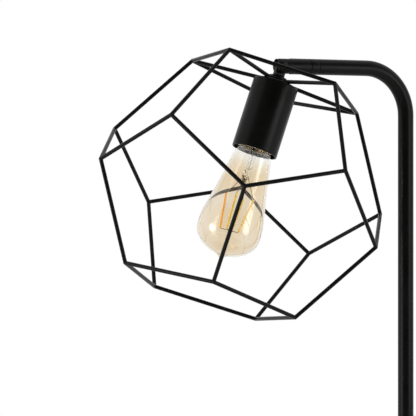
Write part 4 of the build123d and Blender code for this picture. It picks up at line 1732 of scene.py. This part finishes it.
SOFTBOXES = (Softbox("left_softbox", -66, 0, 2400, (1600, 1900), 33),
             Softbox("right_softbox", 61, 0, 2400, (1500, 2200), 27),
             Softbox("top_softbox", 0, 80, 2200, (1500, 1500), 8))


@dataclass
class Studio:
    """White room with soft lamps, a paper floor and a camera at the photograph's angle."""

    yaw: float = -28.89
    camera_place: Spot = (-1555.0, -2398.5, 1376.4)
    sensor: float = 36.0
    lens: float = 240.64
    shift: float = -0.0438
    sight: float = 60000.0
    aim: Spot = (-190.0, 0.0, 1400.0)
    floor_radius: float = 7000.0
    floor_start: float = 60.0
    floor_drop: float = 0.3
    floor_rings: int = 24
    room_light: float = 0.75
    flag_distance: float = 3300.0
    flag_azimuth: float = 14.0
    flag_half_width: float = 64.0
    flag_rise: tuple[float, float] = (-20.0, 80.0)
    flag_rows: int = 12
    flag_columns: int = 24

    def build(self) -> None:
        """Builds the camera, the floor, the world, the lamps and the flag."""
        bpy.context.scene.view_settings.view_transform = "Standard"
        self.set_camera()
        self.lay_floor()
        self.light_room()
        for lamp in SOFTBOXES:
            way = self.way_to(math.radians(lamp.azimuth), math.radians(lamp.elevation))
            lamp.hang(np.array(self.aim) + way * lamp.distance, self.yaw)
        self.hang_flag()

    def set_camera(self) -> None:
        """Sets a level camera turned by the yaw, its picture shifted down."""
        data = bpy.data.cameras.new("camera")
        data.sensor_fit = "HORIZONTAL"
        data.sensor_width = self.sensor
        data.lens = self.lens
        data.shift_y = self.shift
        data.clip_end = self.sight * MILLIMETRE
        camera = new_object("camera", data)
        camera.location = [part * MILLIMETRE for part in self.camera_place]
        camera.rotation_euler = (math.pi / 2, 0, math.radians(self.yaw))
        bpy.context.scene.camera = camera

    def way_to(self, azimuth: float | np.ndarray, elevation: float | np.ndarray) -> np.ndarray:
        """Unit way out from the head: (cos e sin a, -cos e cos a, sin e), a with the yaw added.

        Args:
            azimuth: Angle a from the camera's side, positive to its right, in radians.
            elevation: Angle e above the head in radians.

        Returns:
            The way, or an array of ways where the angles are arrays.
        """
        turn, rise = np.broadcast_arrays(azimuth + math.radians(self.yaw), elevation)
        return np.stack([np.cos(rise) * np.sin(turn), -np.cos(rise) * np.cos(turn), np.sin(rise)], axis=-1)

    def lay_floor(self) -> None:
        """Lays a round sheet of paper just under the lamp's pad: rings of steadily growing radius."""
        radius = np.concatenate([[0], np.geomspace(self.floor_start, self.floor_radius, self.floor_rings)])
        floor = turned(np.stack([radius, np.full(len(radius), -self.floor_drop)], axis=-1), columns=72)
        mesh = mesh_from("floor", [floor])
        mesh.materials.append(SeamlessPaper().material())
        piece = new_object("floor", mesh)

    def light_room(self) -> None:
        """Makes the room white to the eye, in shine and through glass, and a plain light on all else."""
        world = bpy.data.worlds.new("room")
        tree = fresh_tree(world)
        light = add_node(tree, "Background", color=(1, 1, 1, 1), strength=self.room_light)
        white = add_node(tree, "Background", color=(1, 1, 1, 1), strength=1.0)
        mix = add_node(tree, "MixShader", in_0=seen_by_eye(tree), in_1=light.outputs[0],
                       in_2=white.outputs[0])
        add_node(tree, "OutputWorld", surface=mix.outputs[0])
        bpy.context.scene.world = world

    def hang_flag(self) -> None:
        """Hangs a curved dark cloth behind the camera: part of a ball round the head."""
        spread = np.linspace(-self.flag_half_width, self.flag_half_width, self.flag_columns)
        sideways = np.radians(self.flag_azimuth + spread)[None, :]
        rise = np.radians(np.linspace(*self.flag_rise, self.flag_rows))[:, None]
        points = (np.array(self.aim) + self.way_to(sideways, rise) * self.flag_distance) * MILLIMETRE
        row = np.arange(self.flag_rows - 1)[:, None]
        first = (row * self.flag_columns + np.arange(self.flag_columns - 1)).reshape(-1, 1)
        corners = first + np.array([0, 1, self.flag_columns + 1, self.flag_columns])
        mesh = solid_mesh("flag", points.reshape(-1, 3), corners)
        mesh.materials.append(DarkCloth().material())
        flag = new_object("flag", mesh)
        for kind in ("camera", "diffuse", "transmission", "shadow"):
            setattr(flag, f"visible_{kind}", False)


def main() -> None:
    """Builds the studio and every sub-assembly over the frame."""
    logging.basicConfig(level=logging.INFO, format="%(name)s: %(message)s")
    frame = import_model()
    Studio().build()
    Base().build(frame)
    Pole().build(frame)
    Swivel().build(frame)
    WireCage().build()
    Lampholder().build(frame)
    FilamentBulb().build(frame)


if __name__ == "__main__":
    main()
